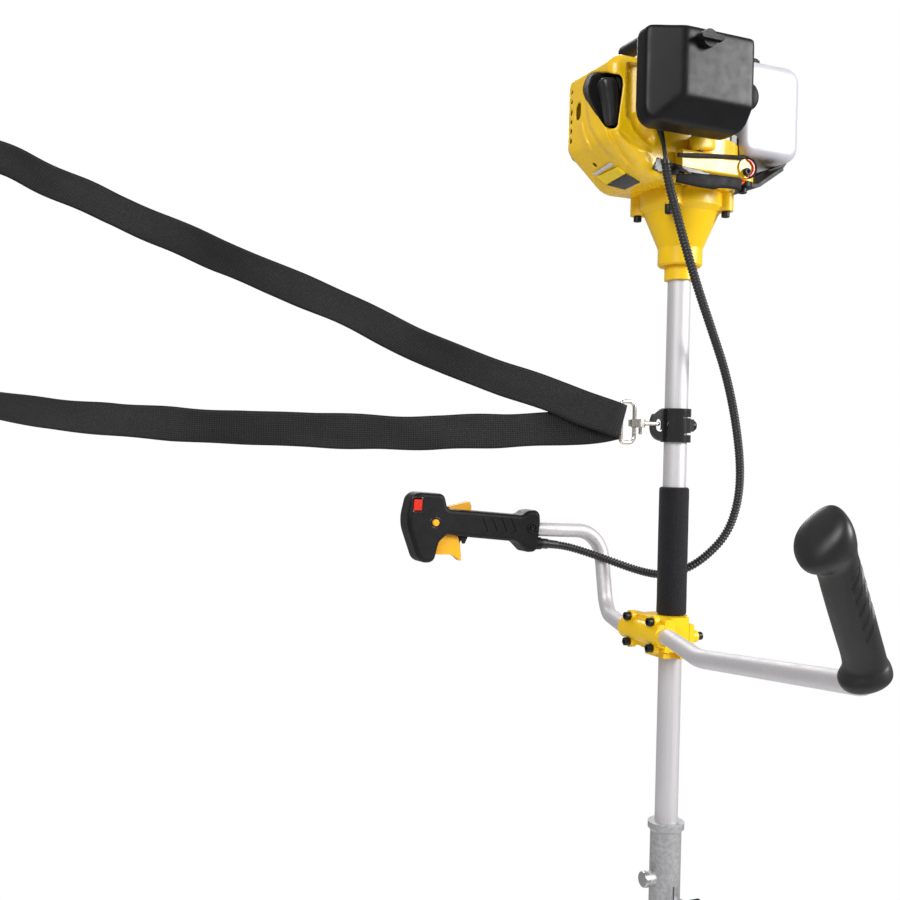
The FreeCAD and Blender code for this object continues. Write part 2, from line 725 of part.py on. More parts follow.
def cylinder_cover():
    outer = cowl_form(0.0)

    def on_side(edge):
        box_ = edge.BoundBox
        flat = abs(box_.YMax - box_.YMin) < 1e-6
        side = abs(abs(box_.YMax) - COWL_HALF_Y) < 1e-6
        return flat and side and box_.XMin < COWL_FOOT_X - 1e-3
    outer = fillet_where(outer, COWL_EDGE_R, on_side)

    def on_inner_side(edge):
        box_ = edge.BoundBox
        flat = abs(box_.YMax - box_.YMin) < 1e-6
        side = abs(abs(box_.YMax) - COWL_HALF_Y + COWL_WALL) < 1e-6
        return flat and side and box_.XMin < COWL_FOOT_X + COWL_WALL - 1
    inner = fillet_where(cowl_form(COWL_WALL), COWL_EDGE_R - COWL_WALL, on_inner_side)
    body = outer.cut(inner)
    body = body.cut(rod(DRUM_R - DRUM_WALL, V(0, 0, 0), V(0, 0, HOUSING_TOP_Z + FAN_WALL + 2)))
    body = body.cut(rod(CASE_R + 1, V(0, 0, CASE_TOP_Z - 3), V(0, 0, COWL_TOP_Z + 5)))
    for angle in clutch_lug_angles():
        centre = polar(BOLT_CIRCLE_R, angle, HOUSING_TOP_Z - 1)
        body = body.cut(rod(SCREW_R + RUN, centre, V(centre.x, centre.y, HOUSING_TOP_Z + 4)))
    body = body.cut(plug_bay())
    intake = box(CARB_X - 24, CARB_X + 24, -COWL_HALF_Y - 1, -COWL_HALF_Y + 12, CARB_Z - 20, CARB_Z + 20)
    body = body.cut(intake)
    exhaust = box(MUFFLER_X0 - 2, MUFFLER_X1 + 2, COWL_HALF_Y - 12, COWL_HALF_Y + 1,
                  MUFFLER_Z0 - 2, MUFFLER_Z1 + 2)
    body = body.cut(exhaust)
    for i in range(6):
        z = 150 + 10.5 * i
        body = body.cut(rod(3.0, V(COWL_X - 2, 36, z), V(COWL_X + 8, 36, z)))
    body = body.cut(rounded_rect(COWL_X - 2, COWL_X + 6, 15, 26, 170, 188, 5.4, "X"))
    body = body.cut(rod(2.2, V(COWL_X - 2, 15, 122), V(COWL_X + 24, 15, 122)))
    return body


def crankcase():
    barrel = revolved([
        (CRANK_R + RUN, FAN_TOP_Z), (CASE_R - 6, FAN_TOP_Z), (CASE_R, FAN_TOP_Z + 6),
        (CASE_R, CASE_TOP_Z), (CRANK_R + RUN, CASE_TOP_Z),
    ])
    spokes = []
    for angle in (60, -60):
        spoke = box(26, FAN_R, -7, 7, FAN_TOP_Z, FAN_TOP_Z + 9)
        spoke.rotate(ORIGIN, Z_AXIS, angle)
        spokes.append(spoke)
    neck = box(CYL_BASE_X, 0, -27, 27, CYL_Z - 22, CYL_Z + 26)
    body = fused([barrel, neck] + spokes)
    bore = rod(CRANK_R + RUN, V(0, 0, FAN_TOP_Z - 1), V(0, 0, CASE_TOP_Z + 1))
    return body.cut(bore).cut(box(-CASE_R - 10, CYL_BASE_X, -60, 60, FAN_TOP_Z - 1, CASE_TOP_Z + 1))


def cylinder():
    barrel = rod(CYL_R, V(CYL_BASE_X, 0, CYL_Z), V(CYL_TOP_X, 0, CYL_Z))
    fins = []
    for i in range(FIN_COUNT):
        x = CYL_BASE_X - FIRST_FIN - FIN_PITCH * i
        low = CYL_Z - FIN_HALF
        high = CYL_Z + FIN_HALF
        fins.append(rounded_rect(x - FIN_T, x, -FIN_HALF, FIN_HALF, low, high, 8, "X"))
    intake = rod(13, V(CARB_X, 0, CARB_Z), V(CARB_X, CARB_Y0, CARB_Z))
    exhaust = rod(13, V(CARB_X, 0, CYL_Z), V(CARB_X, MUFFLER_Y0, CYL_Z))
    body = fused([barrel, intake, exhaust] + fins)
    plug_hole = rod(5 + RUN, plug_point(-4), plug_point(30))
    plug_seat = rod(10.5, plug_point(13.9), plug_point(40))
    return body.cut(plug_hole).cut(plug_seat)


def plug_point(distance):
    return PLUG_BASE.add(V(PLUG_WAY).normalize().multiply(distance))


def spark_plug():
    thread = rod(5, plug_point(0), plug_point(14))
    hexagon = hex_bar(9, plug_point(14), PLUG_WAY, 8)
    insulator = rod(4.5, plug_point(22), plug_point(34))
    return fused([thread, hexagon, insulator])


def spark_plug_boot():
    start = plug_point(23)
    end = plug_point(40)
    cap = ring(9.0, 4.5 + RUN, start, end.sub(V(PLUG_WAY).normalize().multiply(5.5)))
    crown = rod(9.0, end.sub(V(PLUG_WAY).normalize().multiply(5.5)), end)
    middle = plug_point(34.5)
    tip = middle.add(V(0, 0, -16))
    arm = Part.makeCone(5.0, 11.5, 34, tip, Z_AXIS)
    knob = Part.makeSphere(5.0, tip)
    shoulder = Part.makeCone(11.5, 4.0, 9, middle.add(V(0, 0, 18)), Z_AXIS)
    lead = rod(3.4, middle.add(V(0, 0, 25)), middle.add(V(0, 0, 33)))
    clear = rod(4.5 + RUN, plug_point(20), plug_point(34.5))
    return fused([cap, crown, arm, knob, shoulder, lead]).cut(clear).removeSplitter()


def muffler():
    shell = rounded_rect(MUFFLER_X0, MUFFLER_X1, MUFFLER_Y0, MUFFLER_Y0 + MUFFLER_DEPTH,
                         MUFFLER_Z0, MUFFLER_Z1, 7, "Y")
    spout = rod(6, V(-74, MUFFLER_Y0 + MUFFLER_DEPTH, 162), V(-74, MUFFLER_Y0 + MUFFLER_DEPTH + 5, 162))
    pipe = rod(3.5, V(-74, MUFFLER_Y0 + MUFFLER_DEPTH - 6, 162), V(-74, MUFFLER_Y0 + MUFFLER_DEPTH + 9, 162))
    seam = rounded_rect(MUFFLER_X0 - 1.5, MUFFLER_X1 + 1.5, MUFFLER_Y0 + 17, MUFFLER_Y0 + 19,
                        MUFFLER_Z0 - 1.5, MUFFLER_Z1 + 1.5, 8, "Y")
    return fused([shell, seam, spout]).cut(pipe)


def muffler_cover():
    gap = GUARD_GAP
    wall = 2.6
    depth = MUFFLER_DEPTH + 9
    y0 = MUFFLER_Y0 + 8
    outer = rounded_rect(MUFFLER_X0 - gap - wall, MUFFLER_X1 + gap + wall, y0, y0 + depth,
                         MUFFLER_Z0 - gap - wall, MUFFLER_Z1 + gap + wall, 12, "Y")

    def on_front(edge):
        return edge.BoundBox.YMin > y0 + depth - 1e-3
    outer = fillet_where(outer, 9, on_front)
    inner = rounded_rect(MUFFLER_X0 - gap, MUFFLER_X1 + gap, y0 - 1, y0 + depth - wall,
                         MUFFLER_Z0 - gap, MUFFLER_Z1 + gap, 10, "Y")
    body = outer.cut(inner)
    for i in range(6):
        z = MUFFLER_Z0 + 6 + 9 * i
        face = y0 + depth
        slot = rounded_rect(MUFFLER_X0 + 6, MUFFLER_X1 - 6, face - 6, face + 2, z, z + 4, 1.9, "Y")
        body = body.cut(slot)
    for z in (MUFFLER_Z0 + 12, MUFFLER_Z1 - 12):
        y = MUFFLER_Y0 + 22
        post = box(MUFFLER_X0 - gap - wall + 1, MUFFLER_X0 - SEAT, y, y + 8, z - 4, z + 4)
        body = body.fuse(post)
        post = box(MUFFLER_X1 + SEAT, MUFFLER_X1 + gap + wall - 1, y, y + 8, z - 4, z + 4)
        body = body.fuse(post)
    return body.removeSplitter()


# ---------------------------------------------------------------- intake
def carburettor():
    block = rounded_rect(CARB_X - CARB_HALF, CARB_X + CARB_HALF, CARB_Y1, CARB_Y0 - 12,
                         CARB_Z - CARB_HALF, CARB_Z + CARB_HALF, 4, "Y")
    spacer = rounded_rect(CARB_X - 22, CARB_X + 22, CARB_Y0 - 12, CARB_Y0, CARB_Z - 15, CARB_Z + 15, 6, "Y")
    bowl = rounded_rect(CARB_X - 14, CARB_X + 14, CARB_Y1 + 5, CARB_Y0 - 17, CARB_Z - 24, CARB_Z - 14, 3, "Y")
    throat = rod(7, V(CARB_X, CARB_Y1 - 1, CARB_Z), V(CARB_X, CARB_Y0 - 11, CARB_Z))
    pivot = rod(ARM_PIN_R + RUN, V(CARB_X - 30, CARB_ARM_Y, CARB_ARM_Z), V(CARB_X, CARB_ARM_Y, CARB_ARM_Z))
    stop_x = CARB_X - CARB_HALF - 2
    stop_y = CARB_ARM_Y + CARB_ARM_REACH
    stop = rod(6, V(stop_x, stop_y, CARB_STOP_Z), V(stop_x, stop_y, CARB_STOP_Z + 8))
    stop_arm = box(stop_x, CARB_X, stop_y - 4, stop_y + 4, CARB_STOP_Z + 1, CARB_STOP_Z + 8)
    wire_way = rod(1.2, V(stop_x, stop_y, CARB_STOP_Z + 2), V(stop_x, stop_y, CARB_STOP_Z + 9))
    face = CARB_X + CARB_HALF
    bore_end = V(face - BULB_STEM - BULB_TRAVEL, BULB_Y, BULB_Z)
    bulb_bore = rod(BULB_STEM_R + RUN, bore_end, V(face + 1, BULB_Y, BULB_Z))
    body = fused([block, spacer, bowl, stop, stop_arm])
    return body.cut(throat).cut(pivot).cut(wire_way).cut(bulb_bore)


def throttle_arm():
    """The lever on the carburettor's side that the cable pulls down."""
    x = CARB_X - CARB_HALF - 0.5
    tip_y = CARB_ARM_Y + CARB_ARM_REACH
    pin = rod(ARM_PIN_R, V(x - 3, CARB_ARM_Y, CARB_ARM_Z), V(CARB_X - 4, CARB_ARM_Y, CARB_ARM_Z))
    hub = rod(5, V(x - 3, CARB_ARM_Y, CARB_ARM_Z), V(x, CARB_ARM_Y, CARB_ARM_Z))
    web = box(x - 3, x, CARB_ARM_Y, tip_y, CARB_ARM_Z - 3.5, CARB_ARM_Z + 3.5)
    tip = rod(3.5, V(x - 3, tip_y, CARB_ARM_Z), V(x, tip_y, CARB_ARM_Z))
    hole = rod(1.4, V(x - 4, tip_y, CARB_ARM_Z), V(x + 1, tip_y, CARB_ARM_Z))
    return fused([pin, hub, web, tip]).cut(hole)


def air_filter_base():
    edge = FILTER_WALL + SEAT
    rear = FILTER_BASE_Y - FILTER_BASE_T
    left = FILTER_X0 + edge
    right = FILTER_X1 - edge
    low = FILTER_Z0 + edge + 4
    high = FILTER_Z1 - edge - 2
    corners = [V(left, rear, low), V(right, rear, low), V(right, rear, high), V(left, rear, high)]
    radii = [FILTER_LOW_R - 2, FILTER_LOW_R - 2, FILTER_EDGE_R - 2, FILTER_EDGE_R - 2]
    plate = rounded_prism(corners, radii, V(0, FILTER_BASE_T, 0))
    throat = rod(9, V(CARB_X, FILTER_BASE_Y - 9, CARB_Z), V(CARB_X, FILTER_BASE_Y + 1, CARB_Z))
    tip = V(CARB_X, FILTER_BASE_Y - FILTER_DEPTH + 6, KNOB_SCREW_Z)
    stud = rod(3, V(CARB_X, FILTER_BASE_Y - 4, KNOB_SCREW_Z), tip)
    return fused([plate, stud]).cut(throat).cut(choke_pivot(ARM_PIN_R + RUN))


def choke_pivot(radius):
    front = V(CHOKE_X, FILTER_BASE_Y - FILTER_BASE_T - 2, CHOKE_Z)
    return rod(radius, V(CHOKE_X, FILTER_BASE_Y + 2, CHOKE_Z), front)


def choke_lever():
    """A flat lever behind the filter base; its knob stands beside the cover."""
    y0 = FILTER_BASE_Y + 0.4
    pin = rod(ARM_PIN_R, V(CHOKE_X, y0, CHOKE_Z), V(CHOKE_X, FILTER_BASE_Y - FILTER_BASE_T + 1, CHOKE_Z))
    hub = rod(6, V(CHOKE_X, y0, CHOKE_Z), V(CHOKE_X, y0 + 4, CHOKE_Z))
    reach = V(FILTER_X1 + 2 - CHOKE_X, 0, -20)
    turn = math.degrees(math.atan2(reach.z, reach.x))
    blade = box(0, reach.Length, 0, 4, -4, 4)
    blade.Placement = FreeCAD.Placement(V(CHOKE_X, y0, CHOKE_Z), FreeCAD.Rotation(Y_AXIS, -turn))
    tip = V(FILTER_X1 + 3, 0, CHOKE_Z - 20)
    knob = rod(8, V(tip.x, y0 - 22, tip.z), V(tip.x, y0 + 5, tip.z))
    keep_out = box(-200, FILTER_X1 + SEAT, -200, y0 - 0.05, 0, 300)
    return fused([pin, hub, blade, knob.cut(keep_out)])


def filter_cover_form(inset):
    """The cover's outside, or its hollow when inset: sloped at its left and at its lower front."""
    x0 = FILTER_X0 + inset
    x1 = FILTER_X1 - inset
    z0 = FILTER_Z0 + inset
    z1 = FILTER_Z1 - inset
    back = FILTER_BASE_Y + (1 if inset else 0)
    front = FILTER_BASE_Y - FILTER_DEPTH + inset
    side = [
        V(x0, back, z0), V(x0, back, z1), V(x0, front, z1 - 4), V(x0, front, z0 + FILTER_BEVEL),
        V(x0, front + 16, z0 + 3),
    ]
    form = prism(side, V(x1 - x0, 0, 0))
    plan = [
        V(x0, back, z0 - 1), V(x0, front + FILTER_SLOPE_Y, z0 - 1), V(x0 + FILTER_SLOPE_X, front, z0 - 1),
        V(x1, front, z0 - 1), V(x1, back, z0 - 1),
    ]
    form = form.common(prism(plan, V(0, 0, z1 - z0 + 2)))
    corners = [V(x0, front - 1, z0), V(x1, front - 1, z0), V(x1, front - 1, z1), V(x0, front - 1, z1)]
    low = FILTER_LOW_R - inset
    high = FILTER_EDGE_R - inset
    frame = rounded_prism(corners, [low, low, high, high], V(0, back + 2 - front, 0))
    return form.common(frame)


def air_filter_cover():
    outer = filter_cover_form(0.0)
    shoulder_x = FILTER_X0 + FILTER_SLOPE_X + 0.1
    front_y = FILTER_BASE_Y - FILTER_DEPTH + 0.1

    def on_crease(edge):
        bounds = edge.BoundBox
        level = FILTER_Z0 + 1 < bounds.ZMin < FILTER_Z1 - 10
        return level and FILTER_X0 + 1 < bounds.XMin < shoulder_x and bounds.YMin < front_y
    outer = fillet_where(outer, FILTER_CREASE_R, on_crease)

    def on_rim(edge):
        bounds = edge.BoundBox
        at_side = bounds.XMin < FILTER_X0 + 0.1 or bounds.XMax > FILTER_X1 - 0.1
        outermost = at_side or bounds.ZMin > FILTER_Z1 - 9
        return outermost and bounds.YMax < FILTER_BASE_Y - 12.0
    outer = fillet_where(outer, FILTER_RIM_R, on_rim)
    body = outer.cut(filter_cover_form(FILTER_WALL))
    hole = rod(3.6, V(CARB_X, -200, KNOB_SCREW_Z), V(CARB_X, FILTER_BASE_Y, KNOB_SCREW_Z))
    return body.cut(hole)


def filter_cover_knob():
    front = FILTER_BASE_Y - FILTER_DEPTH - SEAT
    hub = rod(9, V(CARB_X, front, KNOB_SCREW_Z), V(CARB_X, front - 7, KNOB_SCREW_Z))
    z = KNOB_SCREW_Z
    wing = rounded_rect(CARB_X - 14, CARB_X + 14, front - 12, front - 5, z - 3, z + 3, 2.8, "Y")
    neck = rod(3.3, V(CARB_X, front - 2, z), V(CARB_X, FILTER_BASE_Y - FILTER_DEPTH + 5.7, z))
    return fused([hub, wing, neck])


def primer_bulb():
    """The soft bulb on the carburettor's side; it is pressed towards the carburettor."""
    face = CARB_X + CARB_HALF
    seat = face + SEAT + BULB_TRAVEL
    stem = rod(BULB_STEM_R, V(face - BULB_STEM + SEAT, BULB_Y, BULB_Z), V(seat, BULB_Y, BULB_Z))
    skirt = rod(BULB_R, V(seat, BULB_Y, BULB_Z), V(seat + 3, BULB_Y, BULB_Z))
    dome = Part.makeSphere(BULB_R - 0.5, V(seat + 3, BULB_Y, BULB_Z))
    dome = dome.common(rod(BULB_R, V(seat + 3, BULB_Y, BULB_Z), V(seat + 12, BULB_Y, BULB_Z)))
    return fused([stem, skirt, dome])


# ---------------------------------------------------------------- tank and stand
def fuel_tank():
    def tank_box(inset):
        return rounded_rect(TANK_X0 + inset, TANK_X1 - inset, TANK_Y0 + inset, TANK_Y1 - inset,
                            TANK_Z0 + inset, TANK_Z1 - inset, TANK_R - inset, "Y")

    def side_edges(edge):
        flat = edge.BoundBox.YLength < 1e-6
        return flat
    outer = fillet_where(tank_box(0.0), 10, side_edges)
    inner = fillet_where(tank_box(TANK_WALL), 7.5, side_edges)
    centre_x = (TANK_X0 + TANK_X1) / 2
    centre_y = (TANK_Y0 + TANK_Y1) / 2
    outer = outer.cut(rod(FAN_R + 1, V(0, 0, 0), V(0, 0, FAN_TOP_Z + 10)))
    inner = inner.cut(rod(FAN_R + 1 + TANK_WALL, V(0, 0, 0), V(0, 0, FAN_TOP_Z + 10 + TANK_WALL)))
    neck = rod(NECK_R, V(centre_x, centre_y, TANK_Z1 - 4), V(centre_x, centre_y, TANK_Z1 + 9))
    mouth = rod(NECK_R - TANK_WALL, V(centre_x, centre_y, TANK_Z1 - 6), V(centre_x, centre_y, TANK_Z1 + 10))
    return outer.fuse(neck).cut(inner).cut(mouth).removeSplitter()


def fuel_cap():
    centre_x = (TANK_X0 + TANK_X1) / 2
    centre_y = (TANK_Y0 + TANK_Y1) / 2
    low = TANK_Z1 + 1.5
    skirt = ring(CAP_R, NECK_R + RUN, V(centre_x, centre_y, low), V(centre_x, centre_y, low + 9))
    lid = rod(CAP_R, V(centre_x, centre_y, low + 8), V(centre_x, centre_y, low + CAP_H))
    cap = skirt.fuse(lid).removeSplitter()
    for i in range(12):
        flute = rod(2.2, V(CAP_R + 0.9, 0, low - 1), V(CAP_R + 0.9, 0, low + CAP_H + 1))
        flute.rotate(ORIGIN, Z_AXIS, 30 * i)
        flute.translate(V(centre_x, centre_y, 0))
        cap = cap.cut(flute)
    return cap


def tank_stand():
    """The black foot: it grips the fan housing's arms and bends under the tank into two skids."""
    low_z = ARM_Z - 12
    half = ARM_Y + 4
    top_x = TANK_X1 + 1.6
    inner = [(ARM_X - 4, low_z), (ARM_X + 17, low_z), (103, 133.5), (120, 141), (top_x, 151.5), (top_x, 168)]
    outer = [(ARM_X - 4, low_z - STAND_T), (ARM_X + 18.5, low_z - STAND_T), (105, 129.8), (122.5, 137.2),
             (top_x + STAND_T, 149.5), (top_x + STAND_T, 168)]
    outline = [V(x, -half, z) for x, z in inner + outer[::-1]]
    plate = rounded_prism(outline, [0, 12, 12, 8, 8, 0, 0, 12, 12, 12, 16, 0], V(0, 2 * half, 0))
    window = box(ARM_X + 14, TANK_X1 - 4, -SKID_HALF_Y + SKID_W, SKID_HALF_Y - SKID_W, 90, 200)
    plate = plate.cut(window)
    for side in (-1, 1):
        low_y = side * (SKID_HALF_Y + 2) if side > 0 else -half - 1
        plate = plate.cut(box(STAND_WIDE_X, STAND_X + 5, low_y, low_y + half - SKID_HALF_Y - 1, 90, 200))
    pads = []
    for side in (-1, 1):
        y = side * ARM_Y
        pads.append(rod(ARM_R - 1, V(ARM_X, y, low_z - STAND_T - 1), V(ARM_X, y, low_z)))
    skids = []
    for side in (-1, 1):
        y0 = side * SKID_HALF_Y - (SKID_W if side > 0 else 0)
        skids.append(box(TANK_X1 + SEAT, STAND_X, y0, y0 + SKID_W, TANK_Z0 + 12, TANK_Z1 - 12))
    tie = box(TANK_X1 + SEAT, TANK_X1 + SEAT + 3, -SKID_HALF_Y, SKID_HALF_Y, TANK_Z1 - 26, TANK_Z1 - 12)
    body = fused([plate] + pads + skids + [tie])
    body = body.cut(rod(FAN_R + 1, V(0, 0, 90), V(0, 0, FAN_TOP_Z + 2)))
    for hole in stand_screw_holes():
        body = body.cut(hole)
    return body


# ---------------------------------------------------------------- starter
def starter_housing():
    neck = rod(CASE_R - 4, V(0, 0, CASE_TOP_Z), V(0, 0, STARTER_Z0 + 14))
    drum = revolved([
        (0, STARTER_Z0 + 9), (STARTER_R - 5, STARTER_Z0 + 9), (STARTER_R, STARTER_Z0 + 14),
        (STARTER_R, STARTER_Z1 - 14), (STARTER_R - 8, STARTER_Z1 - 3), (20, STARTER_Z1), (0, STARTER_Z1),
    ])
    drum = drum.cut(box(TANK_X0 - SEAT, 100, -100, 100, 0, TANK_Z1 + 1))
    body = drum.fuse(neck)
    body = body.cut(rod(CRANK_R + RUN, V(0, 0, CASE_TOP_Z - 1), V(0, 0, CASE_TOP_Z + 13)))
    for i in range(14):
        turn = 360 / 14 * i
        slot = rounded_rect(26, 44, -2.2, 2.2, STARTER_Z1 - 8, STARTER_Z1 + 2, 2.1, "Z")
        slot.rotate(ORIGIN, Z_AXIS, turn)
        body = body.cut(slot)
    seat = box(-STARTER_R - 4, -STARTER_R + 9, PULL_Y - 9, PULL_Y + 9, PULL_Z - 9, PULL_Z + 9)
    guide = rod(2.4, V(-STARTER_R - 5, PULL_Y, PULL_Z), V(-STARTER_R + 22, PULL_Y, PULL_Z))
    return body.fuse(seat).cut(guide).removeSplitter()


def starter_handle():
    face = -STARTER_R - 4 - SEAT
    stem = Part.makeCone(6, 8, 12, V(face, PULL_Y, PULL_Z), V(-1, 0, 0))
    bar = rod(PULL_BAR_R, V(face - 17, PULL_Y - PULL_BAR / 2 + PULL_BAR_R, PULL_Z),
              V(face - 17, PULL_Y + PULL_BAR / 2 - PULL_BAR_R, PULL_Z))
    ends = [Part.makeSphere(PULL_BAR_R, V(face - 17, PULL_Y + side * (PULL_BAR / 2 - PULL_BAR_R), PULL_Z))
            for side in (-1, 1)]
    knot = rod(2.0, V(face + 20, PULL_Y, PULL_Z), V(face - 2, PULL_Y, PULL_Z))
    return fused([stem, bar, knot] + ends)


# ---------------------------------------------------------------- shaft
def upper_tube():
    return ring(TUBE_R, TUBE_R - TUBE_WALL, V(0, 0, SPLIT_Z + 0.5), V(0, 0, TUBE_TOP_Z - 0.5))


def lower_tube():
    return ring(TUBE_R, TUBE_R - TUBE_WALL, V(0, 0, TUBE_BOTTOM_Z), V(0, 0, SPLIT_Z - 0.5))


def bushes_between(highest, lowest):
    bushes = []
    z = highest
    while z > lowest:
        bushes.append(ring(TUBE_R - TUBE_WALL - RUN, DRIVE_R + RUN, V(0, 0, z), V(0, 0, z + BUSH_LENGTH)))
        z -= BUSH_PITCH
    return group(bushes)


def upper_bushes():
    return bushes_between(-60.0, SPLIT_Z + 20)


def lower_bushes():
    return bushes_between(SPLIT_Z - 100, TUBE_BOTTOM_Z + 10)


# ---------------------------------------------------------------- harness clamp, hook, ring, strap
def harness_clamp():
    low = CLAMP_Z - CLAMP_H / 2 - 0.5
    high = CLAMP_Z + CLAMP_H / 2 + 0.5
    outer = TUBE_R + CLAMP_T
    band = rod(outer, V(0, 0, low), V(0, 0, high))
    plate = rounded_prism(
        [V(-34, -EYE_PLATE_T / 2, high - 1), V(-12, -EYE_PLATE_T / 2, high - 1),
         V(-12, -EYE_PLATE_T / 2, low + 1), V(-34, -EYE_PLATE_T / 2, low + 1)],
        [15, 1, 1, 15], V(0, EYE_PLATE_T, 0))
    nose = box(8, TUBE_R + CLAMP_T + 1.5, -9, 9, CLAMP_Z - 6.5, CLAMP_Z + 7.5)
    body = fused([band, plate, nose])
    body = body.cut(rod(TUBE_R + RUN, V(0, 0, low - 1), V(0, 0, high + 1)))
    eye = rod(4.6, V(-23.6, -6, CLAMP_Z - 2.6), V(-23.6, 6, CLAMP_Z - 2.6))
    eye = eye.fuse(rod(4.6, V(-23.6, -6, CLAMP_Z + 2.6), V(-23.6, 6, CLAMP_Z + 2.6)))
    eye = eye.fuse(box(-28.2, -19, -6, 6, CLAMP_Z - 2.6, CLAMP_Z + 2.6))
    body = body.cut(eye)
    lower_slit = box(0, 30, -30, 30, CLAMP_Z - 10.6, CLAMP_Z - 8.2)
    upper_slit = box(-2, 30, -30, 30, CLAMP_Z + 8.4, CLAMP_Z + 9.8)
    body = body.cut(lower_slit).cut(upper_slit)
    split = box(0, 30, -1.2, 1.2, CLAMP_Z + 9.8, high + 1)
    split = split.fuse(box(0, 30, -1.2, 1.2, low - 1, CLAMP_Z - 10.6))
    body = body.cut(split)
    bore = rod(SCREW_R + RUN, V(TUBE_R, 0, CLAMP_Z + 0.5), V(40, 0, CLAMP_Z + 0.5))
    return body.cut(bore)


def clamp_screw():
    seat = TUBE_R + CLAMP_T + 1.5
    head = rod(6, V(seat, 0, CLAMP_Z + 0.5), V(seat + 7.5, 0, CLAMP_Z + 0.5))
    far = [e for e in head.Edges if e.Curve.TypeId == "Part::GeomCircle" and e.BoundBox.XMin > seat + 7]
    head = head.makeFillet(2.4, far)
    shank = rod(SCREW_R, V(seat, 0, CLAMP_Z + 0.5), V(TUBE_R + 0.3, 0, CLAMP_Z + 0.5))
    return head.fuse(shank).removeSplitter()


def snap_hook():
    nose_x = -28.2 + HOOK_ROD_R + SEAT
    rod_y = HOOK_HALF_Y
    points = [V(HOOK_BODY_X + 2, -rod_y, HOOK_Z), V(nose_x, -rod_y, HOOK_Z), V(nose_x, rod_y, HOOK_Z),
              V(-36, rod_y, HOOK_Z)]
    hook = swept(bent_path(points, [5.0, 5.0]), HOOK_ROD_R)
    half = rod_y + 3
    block = rounded_rect(HOOK_BODY_X - 6, HOOK_BODY_X + 4, -half, half, HOOK_Z - 4.5, HOOK_Z + 4.5, 3, "Z")
    swivel = ring(6.5, RING_ROD_R + SEAT, V(HOOK_BODY_X - 6 + 0.2, 0, HOOK_Z - 3.5),
                  V(HOOK_BODY_X - 6 + 0.2, 0, HOOK_Z + 3.5))
    slot = rod(RING_ROD_R + SEAT, V(HOOK_BODY_X - 5.8, 0, HOOK_Z - 9), V(HOOK_BODY_X - 5.8, 0, HOOK_Z + 9))
    body = fused([hook, block, swivel]).cut(slot)
    x = GATE_PIVOT.x
    y = GATE_PIVOT.y
    pin_hole = rod(1.5 + RUN, V(x, y, HOOK_Z - 9), V(x, y, HOOK_Z + 9))
    pocket = box(x - 3.4, x + 8, y - 2.8, y + 8, HOOK_Z - 2.6, HOOK_Z + 2.6)
    return body.cut(pin_hole).cut(pocket)


def hook_gate():
    """The sprung bar that closes the hook's mouth, with its thumb piece."""
    bar = box(GATE_PIVOT.x, -37.0, GATE_PIVOT.y - 1.6, GATE_PIVOT.y + 1.6, HOOK_Z - 2, HOOK_Z + 2)
    hub = rod(2.3, V(GATE_PIVOT.x, GATE_PIVOT.y, HOOK_Z - 2), V(GATE_PIVOT.x, GATE_PIVOT.y, HOOK_Z + 2))
    pin = rod(1.5, V(GATE_PIVOT.x, GATE_PIVOT.y, HOOK_Z - 4.5), V(GATE_PIVOT.x, GATE_PIVOT.y, HOOK_Z + 4.5))
    thumb = rod(1.9, V(-43, GATE_PIVOT.y + 1, HOOK_Z - 12), V(-43, GATE_PIVOT.y + 1, HOOK_Z))
    return fused([bar, hub, pin, thumb])


def strap_ring():
    right = HOOK_BODY_X - 5.8
    z_mid = HOOK_Z + 1.0
    high = z_mid + RING_INNER_H / 2 + RING_ROD_R
    low = z_mid - RING_INNER_H / 2 - RING_ROD_R
    corners = [V(RING_X, 0, high), V(right, 0, high), V(right, 0, low), V(RING_X, 0, low)]
    outline = rounded_outline(corners, [3.0, 7, 7, 3.0])
    edge = outline.OrderedEdges[0]
    start = edge.valueAt(edge.FirstParameter)
    way = edge.tangentAt(edge.FirstParameter)
    profile = Part.Wire(Part.makeCircle(RING_ROD_R, start, way))
    return Part.Wire(outline.OrderedEdges).makePipeShell([profile], True, False)


# Middle of the webbing from the ring along the upper strand, round the far loop and back along the
# lower strand, with the direction of its width at each place.


def strap_section(point, along, width):
    flat = along.cross(width).normalize()
    across = flat.cross(along).normalize()
    half_w = V(across).multiply(STRAP_W / 2)
    half_t = V(flat).multiply(STRAP_T / 2)
    corners = [point.add(half_w).add(half_t), point.sub(half_w).add(half_t),
               point.sub(half_w).sub(half_t), point.add(half_w).sub(half_t)]
    return Part.makePolygon(corners + [corners[0]])


def shoulder_strap():
    points = [p for p, w in STRAP_ROUTE]
    sections = []
    for i, (point, width) in enumerate(STRAP_ROUTE):
        before = points[max(i - 1, 0)]
        after = points[min(i + 1, len(points) - 1)]
        along = after.sub(before)
        if i in (0, len(points) - 1):
            along = V(-1, 0, 0) if i == 0 else V(1, 0, 0)
        sections.append(strap_section(point, V(along).normalize(), V(width).normalize()))
    lengths = []
    for i in range(len(sections) - 1):
        lengths.append(Part.makeLoft([sections[i], sections[i + 1]], True, True))
    turn_r = points[-1].y
    ring_mid = points[-1].z
    low = V(RING_X, 0, ring_mid - STRAP_W / 2)
    outer = rod(turn_r + STRAP_T / 2, low, V(RING_X, 0, ring_mid + STRAP_W / 2))
    inner = rod(turn_r - STRAP_T / 2, V(RING_X, 0, ring_mid - STRAP_W), V(RING_X, 0, ring_mid + STRAP_W))
    wrap = outer.cut(inner).cut(box(RING_X - 20, RING_X, -10, 10, -200, -120))
    return max(fused(lengths + [wrap]).Solids, key=lambda solid: solid.Volume)


